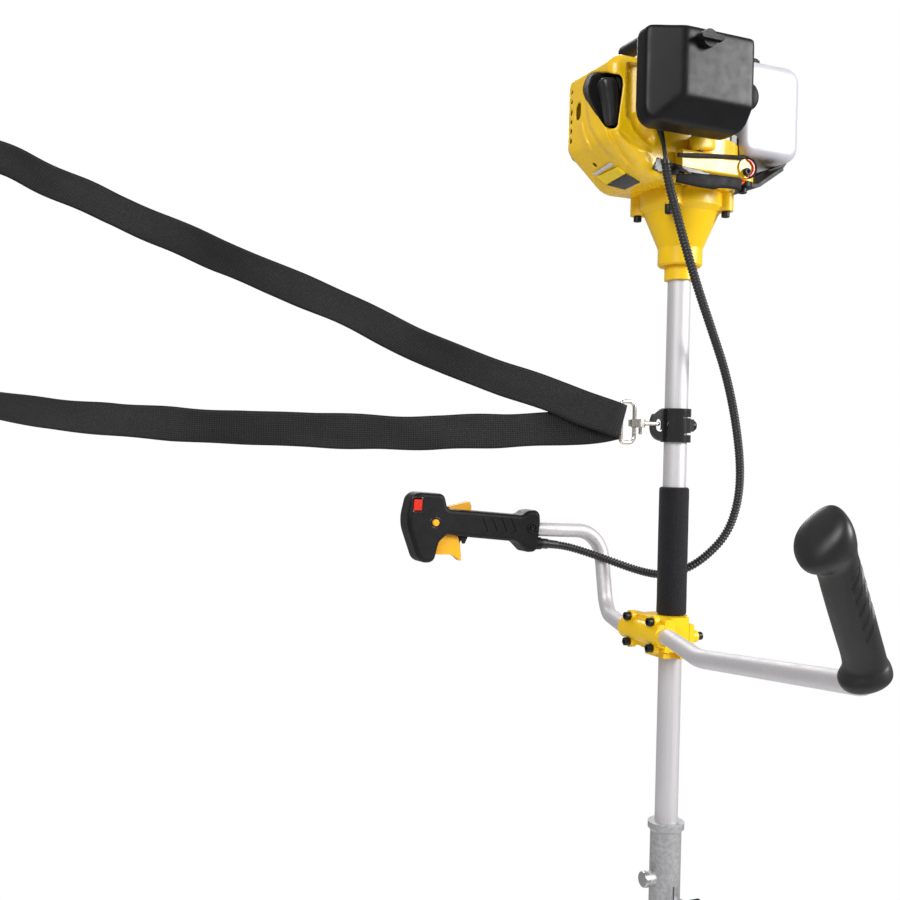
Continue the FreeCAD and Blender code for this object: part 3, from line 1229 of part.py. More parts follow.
# ---------------------------------------------------------------- hand-hold, bracket, handlebar
def foam_sleeve():
    return ring(FOAM_R, TUBE_R + RUN, V(0, 0, FOAM_BOTTOM_Z), V(0, 0, FOAM_TOP_Z))


def bracket_screw_places():
    return [(side * BRACKET_BOLT_Y, BAR_Z + level * BRACKET_BOLT_DZ) for side in (-1, 1) for level in (-1, 1)]


def bracket_base():
    """The middle of the bracket: it seats the bar on one side and the shaft on the other."""
    bar_block = box(BAR_X + 0.3, BAR_X + BAR_CLAMP_R, -BRACKET_HALF_Y, BRACKET_HALF_Y,
                    BAR_Z - BRACKET_HALF_Z, BAR_Z + BRACKET_HALF_Z)
    saddle = box(BAR_X + BAR_CLAMP_R - 2, SHAFT_CAP_X, -26, 26, SADDLE_BOTTOM_Z, BRACKET_TOP_Z)
    waist = rod(9, V(-14, -40, SADDLE_BOTTOM_Z + 2), V(-14, -18, SADDLE_BOTTOM_Z + 2))
    waist = waist.fuse(rod(9, V(-14, 18, SADDLE_BOTTOM_Z + 2), V(-14, 40, SADDLE_BOTTOM_Z + 2)))
    body = fused([bar_block, saddle]).cut(waist)
    body = body.cut(rod(BAR_R + RUN, V(BAR_X, -60, BAR_Z), V(BAR_X, 60, BAR_Z)))
    body = body.cut(rod(TUBE_R + RUN, V(0, 0, SADDLE_BOTTOM_Z - 1), V(0, 0, BRACKET_TOP_Z + 1)))
    for y, z in bracket_screw_places():
        body = body.cut(rod(SCREW_R + RUN, V(BAR_X - 1, y, z), V(BAR_X + BAR_CLAMP_R + 1, y, z)))
    for side in (-1, 1):
        y = side * SHAFT_BOLT_Y
        inner = V(SHAFT_CAP_X - 12, y, SHAFT_BOLT_Z)
        body = body.cut(rod(SCREW_R + RUN, inner, V(SHAFT_CAP_X + 1, y, SHAFT_BOLT_Z)))
    return body


def bracket_bar_cap():
    """The bar's cap: a half round with four screw bosses."""
    barrel = rod(BAR_CLAMP_R - 1, V(BAR_X, -BRACKET_HALF_Y, BAR_Z), V(BAR_X, BRACKET_HALF_Y, BAR_Z))
    pads = []
    for y, z in bracket_screw_places():
        pads.append(rod(6.5, V(BAR_CAP_SEAT_X, y, z), V(BAR_X - 0.3, y, z)))
    plate = box(BAR_X - 4, BAR_X - 0.3, -BRACKET_HALF_Y + 6, BRACKET_HALF_Y - 6,
                BAR_Z - BRACKET_BOLT_DZ, BAR_Z + BRACKET_BOLT_DZ)
    body = fused([barrel, plate] + pads)
    body = body.cut(box(BAR_X - 0.3, BAR_X + 40, -60, 60, BAR_Z - 40, BAR_Z + 40))
    body = body.cut(rod(BAR_R + RUN, V(BAR_X, -60, BAR_Z), V(BAR_X, 60, BAR_Z)))
    for y, z in bracket_screw_places():
        body = body.cut(rod(SCREW_R + RUN, V(BAR_X - 30, y, z), V(BAR_X, y, z)))
        body = body.cut(rod(SCREW_HEAD_R + SEAT, V(BAR_X - 30, y, z), V(BAR_CAP_SEAT_X, y, z)))
    return body


def bracket_shaft_cap():
    high = BRACKET_TOP_Z
    low = SADDLE_BOTTOM_Z
    barrel = rod(TUBE_R + BRACKET_WALL, V(0, 0, low), V(0, 0, high))
    ears = box(SHAFT_CAP_X + 0.6, SHAFT_CAP_X + 7, -26, 26, low + 8, high - 8)
    bosses = []
    for side in (-1, 1):
        y = side * SHAFT_BOLT_Y
        bosses.append(rod(6.5, V(SHAFT_CAP_X + 0.6, y, SHAFT_BOLT_Z), V(SHAFT_CAP_SEAT_X, y, SHAFT_BOLT_Z)))
    body = fused([barrel, ears] + bosses)
    body = body.cut(box(-60, SHAFT_CAP_X + 0.6, -60, 60, low - 1, high + 1))
    body = body.cut(rod(TUBE_R + RUN, V(0, 0, low - 1), V(0, 0, high + 1)))
    for side in (-1, 1):
        y = side * SHAFT_BOLT_Y
        body = body.cut(rod(SCREW_R + RUN, V(SHAFT_CAP_X, y, SHAFT_BOLT_Z), V(40, y, SHAFT_BOLT_Z)))
    return body


def handlebar():
    return bent_tube(BAR_ROUTE, BAR_BENDS, BAR_R, BAR_R - BAR_WALL)


def left_grip():
    """The free end's moulded grip: a saddled flange, a slim barrel and a round bulb."""
    foot = BAR_ROUTE[-2]
    depth = BAR_ROUTE[-1].sub(foot).Length - GRIP_START + 0.5
    way = V(BAR_ROUTE[-1].sub(foot)).normalize()
    base = foot.add(V(way).multiply(GRIP_START))
    profile = [
        (GRIP_MOUTH_R, 0), (17, 0), (19.5, 2.5), (20, 7), (18.6, 12), (15.8, 17), (15.2, 24), (15.4, 45),
        (15.6, 70), (15.6, 92), (17.0, 98), (20.2, 103), (21.8, 110), (21.8, 118), (20, 127), (16, 133),
        (9, 136), (0, 137), (0, depth), (BAR_R + RUN, depth), (BAR_R + RUN, GRIP_MOUTH),
        (GRIP_MOUTH_R, GRIP_MOUTH),
    ]
    grip = revolved(profile, base, way)
    saddle = rod(BAR_R + GRIP_SADDLE, BAR_ROUTE[-3], foot)
    return grip.cut(saddle)


# ---------------------------------------------------------------- throttle handle


def handle_outline_points(y):
    return [V(x, y, z) for x, z in HANDLE_OUTLINE]


def handle_solid():
    """Both shells as one: the rounded body, the spur behind the trigger and the cable's gland."""
    y0 = HANDLE_Y - HANDLE_HALF
    body = rounded_prism(handle_outline_points(y0), HANDLE_RADII, V(0, 2 * HANDLE_HALF, 0))

    def rim(edge):
        on_face = edge.BoundBox.YLength < 1e-6
        return on_face
    body = fillet_where(body, HANDLE_EDGE_R, rim)
    spur_y = HANDLE_Y - SPUR_HALF
    spur = rounded_prism([V(x, spur_y, z) for x, z in HANDLE_SPUR], [0, 0, 1, 1], V(0, 2 * SPUR_HALF, 0))
    gland = rod(GLAND_R, V(-104, HANDLE_Y, GLAND_Z), V(GLAND_X, HANDLE_Y, GLAND_Z))
    return fused([body, spur, gland])


def handle_hollow():
    """What is cut from the two shells together: the pocket in the head, the bar's bore and the slots."""
    y0 = HANDLE_Y - HANDLE_HALF + HANDLE_WALL
    head = [
        V(-189, y0, -279), V(-222, y0, -272.5), V(-229, y0, -254.5), V(-259.5, y0, -252.5),
        V(-266, y0, -283), V(-251.5, y0, -324.5), V(-239, y0, -324.5), V(-234.5, y0, -304.5),
        V(-221, y0, -292.5), V(-189, y0, -294),
    ]
    pocket = rounded_prism(head, [2, 4, 4, 8, 30, 8, 4, 4, 4, 2], V(0, 2 * (HANDLE_HALF - HANDLE_WALL), 0))
    bar = rod(BAR_R + RUN, V(-80, HANDLE_Y, bar_axis_z(-80)), V(-176, HANDLE_Y, bar_axis_z(-176)))
    slot_half = TRIGGER_HALF + PLAY
    trigger_slot = box(-234.0, -192.0, HANDLE_Y - slot_half, HANDLE_Y + slot_half, -332, -288)
    lockoff_slot = box(-217, -181, HANDLE_Y - slot_half, HANDLE_Y + slot_half, -279.5, -255)
    return [pocket, bar, trigger_slot, lockoff_slot]


def bar_axis_z(x):
    first = BAR_ROUTE[0]
    second = BAR_ROUTE[1]
    share = (x - first.x) / (second.x - first.x)
    return first.z + share * (second.z - first.z)


def pivot_bosses(pivot, radius):
    """Bosses inside each shell that carry a lever's pin."""
    bosses = []
    for side in (-1, 1):
        inner = HANDLE_Y + side * (TRIGGER_HALF + PLAY)
        outer = HANDLE_Y + side * (HANDLE_HALF - 0.5)
        bosses.append(rod(radius, V(pivot.x, inner, pivot.z), V(pivot.x, outer, pivot.z)))
    return bosses


def handle_shell(side):
    body = handle_solid()
    envelope = body.copy()
    for hollow in handle_hollow():
        body = body.cut(hollow)
    for pivot in (TRIGGER_PIVOT, LOCKOFF_PIVOT):
        for boss in pivot_bosses(pivot, 4.0):
            body = body.fuse(boss.common(envelope))
        pin = rod(LEVER_PIN_R + RUN, V(pivot.x, HANDLE_Y - LEVER_PIN_HALF - 0.3, pivot.z),
                  V(pivot.x, HANDLE_Y + LEVER_PIN_HALF + 0.3, pivot.z))
        body = body.cut(pin)
    half = box(-400, 0, HANDLE_Y, HANDLE_Y + 60, -400, -200)
    if side < 0:
        half = box(-400, 0, HANDLE_Y - 60, HANDLE_Y, -400, -200)
    body = body.common(half)
    face_y = HANDLE_Y + side * HANDLE_HALF
    for x in PANEL_PLACES:
        panel = box(-PANEL_HALF_X, PANEL_HALF_X, -PANEL_DEPTH, PANEL_DEPTH, -PANEL_HALF_Z, PANEL_HALF_Z)
        panel.Placement = FreeCAD.Placement(V(x, face_y, PANEL_Z), FreeCAD.Rotation(Y_AXIS, -PANEL_LEAN))
        body = body.cut(panel)
    boss_x, boss_z = HANDLE_SCREW_XZ
    body = body.cut(rod(HANDLE_SCREW_R, V(boss_x, face_y - 3, boss_z), V(boss_x, face_y + 3, boss_z)))
    if side < 0:
        sx, sz = SWITCH_XZ
        body = body.cut(box(sx - SWITCH_HALF_X - 0.3, sx + SWITCH_HALF_X + 0.3, face_y - 1, face_y + 6,
                            sz - SWITCH_HALF_Z - 0.4, sz + SWITCH_HALF_Z + 0.4))
        bx, bz = BUTTON_XZ
        body = body.cut(rod(BUTTON_R + RUN, V(bx, face_y - 1, bz), V(bx, face_y + 6, bz)))
    return body


def handle_left_shell():
    return handle_shell(-1)


def handle_right_shell():
    return handle_shell(1)


def throttle_trigger():
    """A hooked lever: its hub turns on a pin and its finger hangs below the head."""
    y0 = HANDLE_Y - TRIGGER_HALF
    finger = [
        V(-230, y0, -321), V(-231, y0, -301), V(-219, y0, -295.5), V(-202.2, y0, -299.8),
        V(-199.0, y0, -310), V(-197.0, y0, -330.5), V(-208, y0, -321.5),
    ]
    blade = rounded_prism(finger, [1.5, 3, 4, 2, 14, 1.2, 14], V(0, 2 * TRIGGER_HALF, 0))
    x = TRIGGER_PIVOT.x
    z = TRIGGER_PIVOT.z
    hub = rod(4.5, V(x, y0, z), V(x, HANDLE_Y + TRIGGER_HALF, z))
    pin = rod(LEVER_PIN_R, V(TRIGGER_PIVOT.x, HANDLE_Y - LEVER_PIN_HALF, TRIGGER_PIVOT.z),
              V(TRIGGER_PIVOT.x, HANDLE_Y + LEVER_PIN_HALF, TRIGGER_PIVOT.z))
    return fused([blade, hub, pin])


def lock_off_lever():
    y0 = HANDLE_Y - TRIGGER_HALF
    plate = [V(-214.6, y0, -265.2), V(-188.0, y0, -258.9), V(-185.6, y0, -264.0), V(-185.6, y0, -270.5),
             V(-212.0, y0, -274.5)]
    blade = rounded_prism(plate, [1.5, 1, 1, 1.5, 2], V(0, 2 * TRIGGER_HALF, 0))
    x = LOCKOFF_PIVOT.x
    z = LOCKOFF_PIVOT.z
    hub = rod(4.0, V(x, y0, z), V(x, HANDLE_Y + TRIGGER_HALF, z))
    pin = rod(LEVER_PIN_R, V(LOCKOFF_PIVOT.x, HANDLE_Y - LEVER_PIN_HALF, LOCKOFF_PIVOT.z),
              V(LOCKOFF_PIVOT.x, HANDLE_Y + LEVER_PIN_HALF, LOCKOFF_PIVOT.z))
    return fused([blade, hub, pin])


def throttle_lock_button():
    x, z = BUTTON_XZ
    face_y = HANDLE_Y - HANDLE_HALF
    stem = rod(BUTTON_R, V(x, face_y - 3.5, z), V(x, face_y + 4, z))
    head = [e for e in stem.Edges if e.Curve.TypeId == "Part::GeomCircle" and e.BoundBox.YMax < face_y - 3]
    stem = stem.makeFillet(1.2, head)
    collar = rod(BUTTON_R + 1.2, V(x, face_y + HANDLE_WALL + SEAT, z), V(x, face_y + 5, z))
    return fused([stem, collar])


def stop_switch():
    """A rocker that tilts about an axis across its middle."""
    x, z = SWITCH_XZ
    face_y = HANDLE_Y - HANDLE_HALF
    left = x - SWITCH_HALF_X
    low_tip = V(left, face_y - 0.8, z - SWITCH_HALF_Z + 0.6)
    high_tip = V(left, face_y - 2.6, z + SWITCH_HALF_Z - 0.6)
    profile = [V(left, face_y + 4.5, z - 5), low_tip, high_tip, V(left, face_y + 4.5, z + 5)]
    rocker = prism(profile, V(2 * SWITCH_HALF_X, 0, 0))
    return rocker


# ---------------------------------------------------------------- throttle cable


def cable_radii():
    radii = []
    for i in range(1, len(CABLE_ROUTE) - 1):
        before = CABLE_ROUTE[i - 1].sub(CABLE_ROUTE[i])
        after = CABLE_ROUTE[i + 1].sub(CABLE_ROUTE[i])
        half_turn = (math.pi - before.getAngle(after)) / 2
        radii.append(0.45 * min(before.Length, after.Length) / math.tan(half_turn))
    return radii


def throttle_cable():
    return swept(bent_path(CABLE_ROUTE, cable_radii()), CABLE_R)


# ---------------------------------------------------------------- coupling


def shaft_coupling():
    body = revolved([
        (TUBE_R + RUN, COUPLING_BOTTOM_Z), (COUPLING_R, COUPLING_BOTTOM_Z), (COUPLING_R, COUPLING_TOP_Z - 10),
        (COUPLING_FLANGE_R, COUPLING_TOP_Z - 7), (COUPLING_FLANGE_R, COUPLING_TOP_Z),
        (TUBE_R + RUN, COUPLING_TOP_Z),
    ])
    lugs = rounded_rect(-11, 11, LUG_OUT_Y, -TUBE_R - 1, KNOB_Z - 11, KNOB_Z + 11, 3, "X")
    boss = rod(8.5, V(-COUPLING_R - 7, 0, LOCK_Z), V(-TUBE_R - 1, 0, LOCK_Z))
    body = fused([body, lugs, boss])
    slot = box(-COUPLING_SLOT / 2, COUPLING_SLOT / 2, LUG_OUT_Y - 1, -5, COUPLING_BOTTOM_Z - 1, LOCK_Z - 6)
    screw_way = rod(3.0 + RUN, V(-20, CLAMP_SCREW_Y, KNOB_Z), V(20, CLAMP_SCREW_Y, KNOB_Z))
    pin_way = rod(LOCK_R + RUN, V(-40, 0, LOCK_Z), V(0, 0, LOCK_Z))
    body = body.cut(slot).cut(screw_way).cut(pin_way)
    return body.cut(rod(TUBE_R + RUN, V(0, 0, COUPLING_BOTTOM_Z - 1), V(0, 0, COUPLING_TOP_Z + 1)))


def coupling_knob():
    """A three-lobed knob on the clamp's screw."""
    seat = 11 + SEAT
    hub = rod(9, V(seat, CLAMP_SCREW_Y, KNOB_Z), V(seat + 14, CLAMP_SCREW_Y, KNOB_Z))
    lobes = []
    for i in range(3):
        lobe = rod(6.5, V(seat + 4, 9, 0), V(seat + 14, 9, 0))
        lobe.rotate(ORIGIN, X_AXIS, 120 * i)
        lobe.translate(V(0, CLAMP_SCREW_Y, KNOB_Z))
        lobes.append(lobe)
    screw = rod(3.0, V(-16, CLAMP_SCREW_Y, KNOB_Z), V(seat + 2, CLAMP_SCREW_Y, KNOB_Z))
    return fused([hub, screw] + lobes)


def coupling_lock_button():
    outside = -COUPLING_R - 7
    pin = rod(LOCK_R, V(-TUBE_R - SEAT, 0, LOCK_Z), V(outside - 3, 0, LOCK_Z))
    cap = rod(9, V(outside - SEAT, 0, LOCK_Z), V(outside - 6, 0, LOCK_Z))
    rim = [e for e in cap.Edges if e.Curve.TypeId == "Part::GeomCircle" and e.BoundBox.XMax < outside - 5]
    cap = cap.makeFillet(1.5, rim)
    return fused([pin, cap])


# ---------------------------------------------------------------- gearbox and cutting head


def at_head(shape):
    """Turns a shape made with the spindle on +Z, and the user's side on -X, into place at the gears' apex."""
    shape.Placement = FreeCAD.Placement(V(0, 0, APEX_Z), FreeCAD.Rotation(Y_AXIS, 180 - HEAD_TILT))
    return shape


def bevel(cone, teeth, shaft_r):
    """A bevel gear whose cone opens from the apex along +Z, with straight tooth spaces."""
    far = CONE_DISTANCE
    near = CONE_DISTANCE - TOOTH_LENGTH
    lift = TOOTH_GAP / math.sin(cone)
    z_far = far * math.cos(cone) + lift
    z_near = near * math.cos(cone) + lift
    body = revolved([(0, z_near), (near * math.sin(cone), z_near), (far * math.sin(cone), z_far),
                     (far * math.sin(cone) - 2, z_far + 3), (shaft_r + 3, z_far + 3), (0, z_far + 3)])
    for i in range(teeth):
        space = Part.makeCone(0.3, 1.3, far + 6, V(0, 0, 0), Z_AXIS)
        space.rotate(ORIGIN, Y_AXIS, math.degrees(cone) + 1.0)
        space.translate(V(0, 0, lift))
        space.rotate(ORIGIN, Z_AXIS, 360 / teeth * i)
        body = body.cut(space)
    return body, z_near, z_far


def lower_drive_shaft():
    gear, z_near, z_far = bevel(PINION_CONE, PINION_TEETH, DRIVE_R)
    gear.translate(V(0, 0, APEX_Z))
    shaft = rod(DRIVE_R, V(0, 0, APEX_Z + z_far), V(0, 0, DRIVE_SPLIT_Z - 1))
    socket = rod(7, V(0, 0, DRIVE_SPLIT_Z - 6), V(0, 0, DRIVE_SPLIT_Z + 20))
    socket = socket.cut(rod(DRIVE_R + RUN, V(0, 0, DRIVE_SPLIT_Z - 0.3), V(0, 0, DRIVE_SPLIT_Z + 21)))
    return fused([gear, shaft, socket])


def output_shaft():
    gear, z_near, z_far = bevel(GEAR_CONE, GEAR_TEETH, SPINDLE_R)
    gear.rotate(ORIGIN, X_AXIS, 180)
    shaft = rod(SPINDLE_R, V(0, 0, -z_near - 2), V(0, 0, SPINDLE_END))
    flange = rod(14, V(0, 0, 31), V(0, 0, 35))
    collar = rod(9, V(0, 0, 35), V(0, 0, HEAD_TOP + 1))
    return at_head(fused([gear, shaft, flange, collar]))


def gearbox_housing():
    socket_top = TUBE_BOTTOM_Z + 42
    socket = rod(TUBE_R + 4, V(0, 0, APEX_Z + 12), V(0, 0, socket_top))
    rim = rod(TUBE_R + 5.5, V(0, 0, socket_top - 9), V(0, 0, socket_top))
    bulk = rod(23, V(0, 0, -34), V(0, 0, 20))
    bulk = fillet_where(bulk, 8, lambda e: e.BoundBox.ZMax < -33)
    nose = Part.makeCone(23, 17, 8, V(0, 0, 20), Z_AXIS)
    plug = hex_bar(7, V(0, 0, -38), Z_AXIS, 6)
    spindle_side = fused([bulk, nose, plug])
    body = fused([socket, rim, at_head(spindle_side)])
    pinion_room = rod(14.5, V(0, 0, APEX_Z + 8), V(0, 0, APEX_Z + 32))
    gear_room = at_head(revolved([(0, -32), (18.5, -32), (18.5, -12), (9, 4), (0, 4)]))
    spindle_way = at_head(rod(SPINDLE_R + RUN, V(0, 0, -10), V(0, 0, 40)))
    body = body.cut(pinion_room).cut(gear_room).cut(spindle_way)
    body = body.cut(rod(DRIVE_R + RUN, V(0, 0, APEX_Z + 20), V(0, 0, TUBE_BOTTOM_Z + 1)))
    return body.cut(rod(TUBE_R + RUN, V(0, 0, TUBE_BOTTOM_Z), V(0, 0, socket_top + 1)))


def sector(r0, r1, z0, z1, arc):
    """A sector of a ring about the spindle, centred on the user's side."""
    face = Part.Face(Part.makePolygon([V(r0, 0, z0), V(r1, 0, z0), V(r1, 0, z1), V(r0, 0, z1), V(r0, 0, z0)]))
    solid = face.revolve(ORIGIN, Z_AXIS, arc)
    solid.rotate(ORIGIN, Z_AXIS, 180 - arc / 2)
    return solid


def debris_guard():
    plate = sector(30, GUARD_R, GUARD_TOP, GUARD_TOP + GUARD_T, GUARD_ARC)
    skirt = sector(GUARD_R - GUARD_T, GUARD_R, GUARD_TOP, GUARD_TOP + GUARD_H, GUARD_ARC)
    rib = sector(30, GUARD_R, GUARD_TOP, GUARD_TOP + 12, 2.0)
    sides = []
    for side in (-1, 1):
        wing = Part.Shape(rib)
        wing.rotate(ORIGIN, Z_AXIS, side * (GUARD_ARC / 2 - 1))
        sides.append(wing)
    neck = box(-52, -26, -16, 16, GUARD_TOP - 42, GUARD_TOP + GUARD_T)
    body = at_head(fused([plate, skirt, neck] + sides))
    clamp_low = TUBE_BOTTOM_Z - 2
    clamp_high = TUBE_BOTTOM_Z + 28
    saddle = box(0, TUBE_R + 14, -24, 24, clamp_low, clamp_high)
    body = fused([body, saddle])
    body = body.cut(rod(TUBE_R + 4 + SEAT, V(0, 0, APEX_Z - 60), V(0, 0, clamp_high + 6)))
    spindle_room = at_head(rod(24.5, V(0, 0, -60), V(0, 0, 30)))
    body = body.cut(spindle_room)
    for side in (-1, 1):
        z = TUBE_BOTTOM_Z + 13
        body = body.cut(rod(SCREW_R + RUN, V(-5, side * 20.5, z), V(40, side * 20.5, z)))
    return body


def guard_screw_places():
    return [(side * 20.5, TUBE_BOTTOM_Z + 13) for side in (-1, 1)]


def guard_fittings():
    """The line cutter on the skirt's lower edge and the guard's two screws."""
    tip = GUARD_TOP + GUARD_H - 2
    blade = rounded_rect(-GUARD_R - 2.0, -GUARD_R - SEAT, -14, 14, GUARD_TOP + 30, tip, 1.0, "X")
    blade = blade.cut(rod(2.2, V(-GUARD_R - 4, 0, GUARD_TOP + 38), V(-GUARD_R + 2, 0, GUARD_TOP + 38)))
    pieces = [at_head(blade)]
    for y, z in guard_screw_places():
        pieces.append(socket_screw(V(TUBE_R + 14, y, z), V(-1, 0, 0), 22.0))
    return group(pieces)


def trimmer_head():
    outer = revolved([
        (0, HEAD_TOP), (20, HEAD_TOP), (30, HEAD_TOP + 4), (HEAD_R - 6, HEAD_TOP + 10),
        (HEAD_R, HEAD_TOP + 18),
        (HEAD_R, HEAD_TOP + HEAD_H - 6), (HEAD_R - 3, HEAD_TOP + HEAD_H), (0, HEAD_TOP + HEAD_H),
    ])
    hollow = revolved([
        (SPINDLE_R + 6, HEAD_TOP + 14), (HEAD_R - 8, HEAD_TOP + 17), (HEAD_R - 4, HEAD_TOP + 22),
        (HEAD_R - 4, HEAD_TOP + HEAD_H - 4), (SPINDLE_R + 6, HEAD_TOP + HEAD_H - 4),
    ])
    body = outer.cut(hollow)
    body = body.cut(rod(KNOB_R - 4 + PLAY, V(0, 0, HEAD_TOP + HEAD_H - 12), V(0, 0, HEAD_TOP + HEAD_H + 1)))
    body = body.cut(rod(SPINDLE_R + RUN, V(0, 0, HEAD_TOP - 1), V(0, 0, SPINDLE_END + 1)))
    body = body.cut(rod(9 + RUN, V(0, 0, HEAD_TOP - 1), V(0, 0, HEAD_TOP + 1.3)))
    for side in (-1, 1):
        inner = V(side * (HEAD_R - 9), 0, LINE_Z)
        body = body.cut(rod(LINE_R + RUN, inner, V(side * (HEAD_R + 3), 0, LINE_Z)))
    for i in range(12):
        flute = rod(4, V(HEAD_R + 2.4, 0, HEAD_TOP + 16), V(HEAD_R + 2.4, 0, HEAD_TOP + HEAD_H + 1))
        flute.rotate(ORIGIN, Z_AXIS, 15 + 30 * i)
        body = body.cut(flute)
    return at_head(body)


def bump_knob():
    low = HEAD_TOP + HEAD_H + SEAT + BUMP_TRAVEL
    knob = revolved([
        (0, low), (KNOB_R, low), (KNOB_R, low + 7), (KNOB_R - 5, low + 13), (0, low + 15),
    ])
    neck = rod(KNOB_R - 4, V(0, 0, HEAD_TOP + HEAD_H - 3), V(0, 0, low + 1))
    return at_head(fused([knob, neck]))


def nylon_line():
    ends = []
    for side in (-1, 1):
        ends.append(rod(LINE_R, V(side * (HEAD_R - 8), 0, LINE_Z), V(side * LINE_REACH, 0, LINE_Z)))
    return at_head(group(ends))


# ---------------------------------------------------------------- screws
def socket_screws():
    screws = []
    for angle in clutch_lug_angles():
        place = polar(BOLT_CIRCLE_R, angle, LUG_Z)
        screws.append(socket_screw(place, Z_AXIS, HOUSING_TOP_Z - LUG_Z + 2.4))
    for y, z in bracket_screw_places():
        screws.append(socket_screw(V(BAR_CAP_SEAT_X, y, z), X_AXIS, 19.0))
    for side in (-1, 1):
        place = V(SHAFT_CAP_SEAT_X, side * SHAFT_BOLT_Y, SHAFT_BOLT_Z)
        screws.append(socket_screw(place, V(-1, 0, 0), 22.0, 1.0))
    for side in (-1, 1):
        place = V(ARM_X, side * ARM_Y, ARM_Z - 13 - STAND_T)
        screws.append(socket_screw(place, Z_AXIS, 16.0))
    screws.append(clamp_screw())
    return group(screws)


# ---------------------------------------------------------------- export
PARTS = [
    clutch_housing, socket_screws, clutch_drum, upper_drive_shaft, clutch_shoes, flywheel, crankshaft,
    fan_housing, cylinder_cover, crankcase, cylinder, spark_plug, spark_plug_boot, muffler, muffler_cover,
    carburettor, throttle_arm, air_filter_base, air_filter_cover, filter_cover_knob, choke_lever, primer_bulb,
    fuel_tank, fuel_cap, tank_stand, starter_housing, starter_handle, upper_tube, upper_bushes,
    harness_clamp, snap_hook, hook_gate, strap_ring, shoulder_strap, foam_sleeve,
    bracket_base, bracket_bar_cap, bracket_shaft_cap, handlebar, left_grip,
    handle_left_shell, handle_right_shell, throttle_trigger, lock_off_lever, throttle_lock_button,
    stop_switch,
    throttle_cable, shaft_coupling, coupling_knob, coupling_lock_button, lower_tube, lower_bushes,
    lower_drive_shaft, gearbox_housing, output_shaft, debris_guard, guard_fittings, trimmer_head, bump_knob,
    nylon_line,
]

os.makedirs("parts", exist_ok=True)
for make in PARTS:
    shape = make()
    if not shape.isValid():
        print("invalid:", make.__name__)
    shape.exportStep("parts/" + make.__name__ + ".step")
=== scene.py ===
import json
import math

import bpy
import numpy as np
from mathutils import Matrix, Vector, geometry, noise
from mathutils.bvhtree import BVHTree


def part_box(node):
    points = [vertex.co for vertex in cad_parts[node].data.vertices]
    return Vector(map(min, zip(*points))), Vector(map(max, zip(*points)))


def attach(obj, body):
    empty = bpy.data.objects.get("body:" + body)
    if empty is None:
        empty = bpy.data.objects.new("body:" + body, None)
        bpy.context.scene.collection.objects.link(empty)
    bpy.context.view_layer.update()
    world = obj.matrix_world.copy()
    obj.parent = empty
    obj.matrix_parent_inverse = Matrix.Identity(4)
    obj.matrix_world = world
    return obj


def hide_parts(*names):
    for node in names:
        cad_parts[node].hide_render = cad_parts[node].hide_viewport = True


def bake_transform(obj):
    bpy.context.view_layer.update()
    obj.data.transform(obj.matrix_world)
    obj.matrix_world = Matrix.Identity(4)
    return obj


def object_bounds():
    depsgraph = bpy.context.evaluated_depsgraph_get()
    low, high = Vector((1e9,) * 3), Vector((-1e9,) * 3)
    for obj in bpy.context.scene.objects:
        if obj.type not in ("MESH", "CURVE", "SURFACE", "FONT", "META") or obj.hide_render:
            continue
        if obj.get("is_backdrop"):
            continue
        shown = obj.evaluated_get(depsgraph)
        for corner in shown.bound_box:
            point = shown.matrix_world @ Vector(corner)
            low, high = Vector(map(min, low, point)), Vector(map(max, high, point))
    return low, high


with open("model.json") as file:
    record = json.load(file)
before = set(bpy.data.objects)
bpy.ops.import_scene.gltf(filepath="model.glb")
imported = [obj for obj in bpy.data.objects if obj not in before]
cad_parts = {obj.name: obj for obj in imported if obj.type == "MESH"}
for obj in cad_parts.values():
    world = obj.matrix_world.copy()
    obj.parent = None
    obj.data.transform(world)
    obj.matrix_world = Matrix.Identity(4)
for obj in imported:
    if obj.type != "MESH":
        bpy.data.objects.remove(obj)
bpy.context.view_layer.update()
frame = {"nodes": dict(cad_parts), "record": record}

MM = 0.001

# the view
CAMERA_AT = (-0.7415, -1.0371, -0.1983)
CAMERA_LOOKS = (0.4067, 0.9135, 0.0)
CAMERA_UP = (-0.0225, 0.0100, 0.9997)
CAMERA_LENS = 44.0
CAMERA_SENSOR = 36.0

FLOOR_RADIUS = 2.0
FLOOR_GAP = 0.004
FLOOR_SIDES = 96
LIT_MIDDLE = (0.0, 0.0, -0.15)
SKY_STRENGTH = 0.34
LAMPS = (
    # name, place, size across, power
    ("left", (-2.3, -1.7, 1.5), 1.8, 62.0),
    ("right", (1.9, -2.1, 0.9), 1.5, 92.0),
    ("back", (0.6, 2.2, 1.6), 1.8, 46.0),
)

# the conduit
CONDUIT_RADIUS = 5.0 * MM
CONDUIT_ROUTE = (
    (-74.5, -61, 149.7), (-68, -62, 133), (-66, -65, 98), (-55, -70, 56), (-39, -66, 21),
    (-15, -57, -20), (13, -45, -60), (44, -31, -104), (72, -15, -156), (93, 0, -210),
    (101, 13, -252), (95, 24, -290), (72, 34, -318), (50, 44, -334), (34, 68, -343),
    (22, 98, -341), (-2, 124, -331), (-34, 143, -319), (-62, 150, -311.8), (-88.7, 150, -310),
)
RIB_PITCH = 3.7 * MM
RIB_DEPTH = 0.95 * MM
RIB_STEPS = 8
INNER_CABLE_RADIUS = 2.3 * MM
INNER_CABLE_LENGTH = 37.0 * MM
FERRULE_LENGTH = 5.0 * MM
BOOT_LENGTH = 21.0 * MM
BOOT_RADIUS = 4.6 * MM
GLAND_LENGTH = 24.0 * MM
GLAND_RADIUS = 6.3 * MM
CONDUIT_SIDES = 20
CONDUIT_FINE = 24

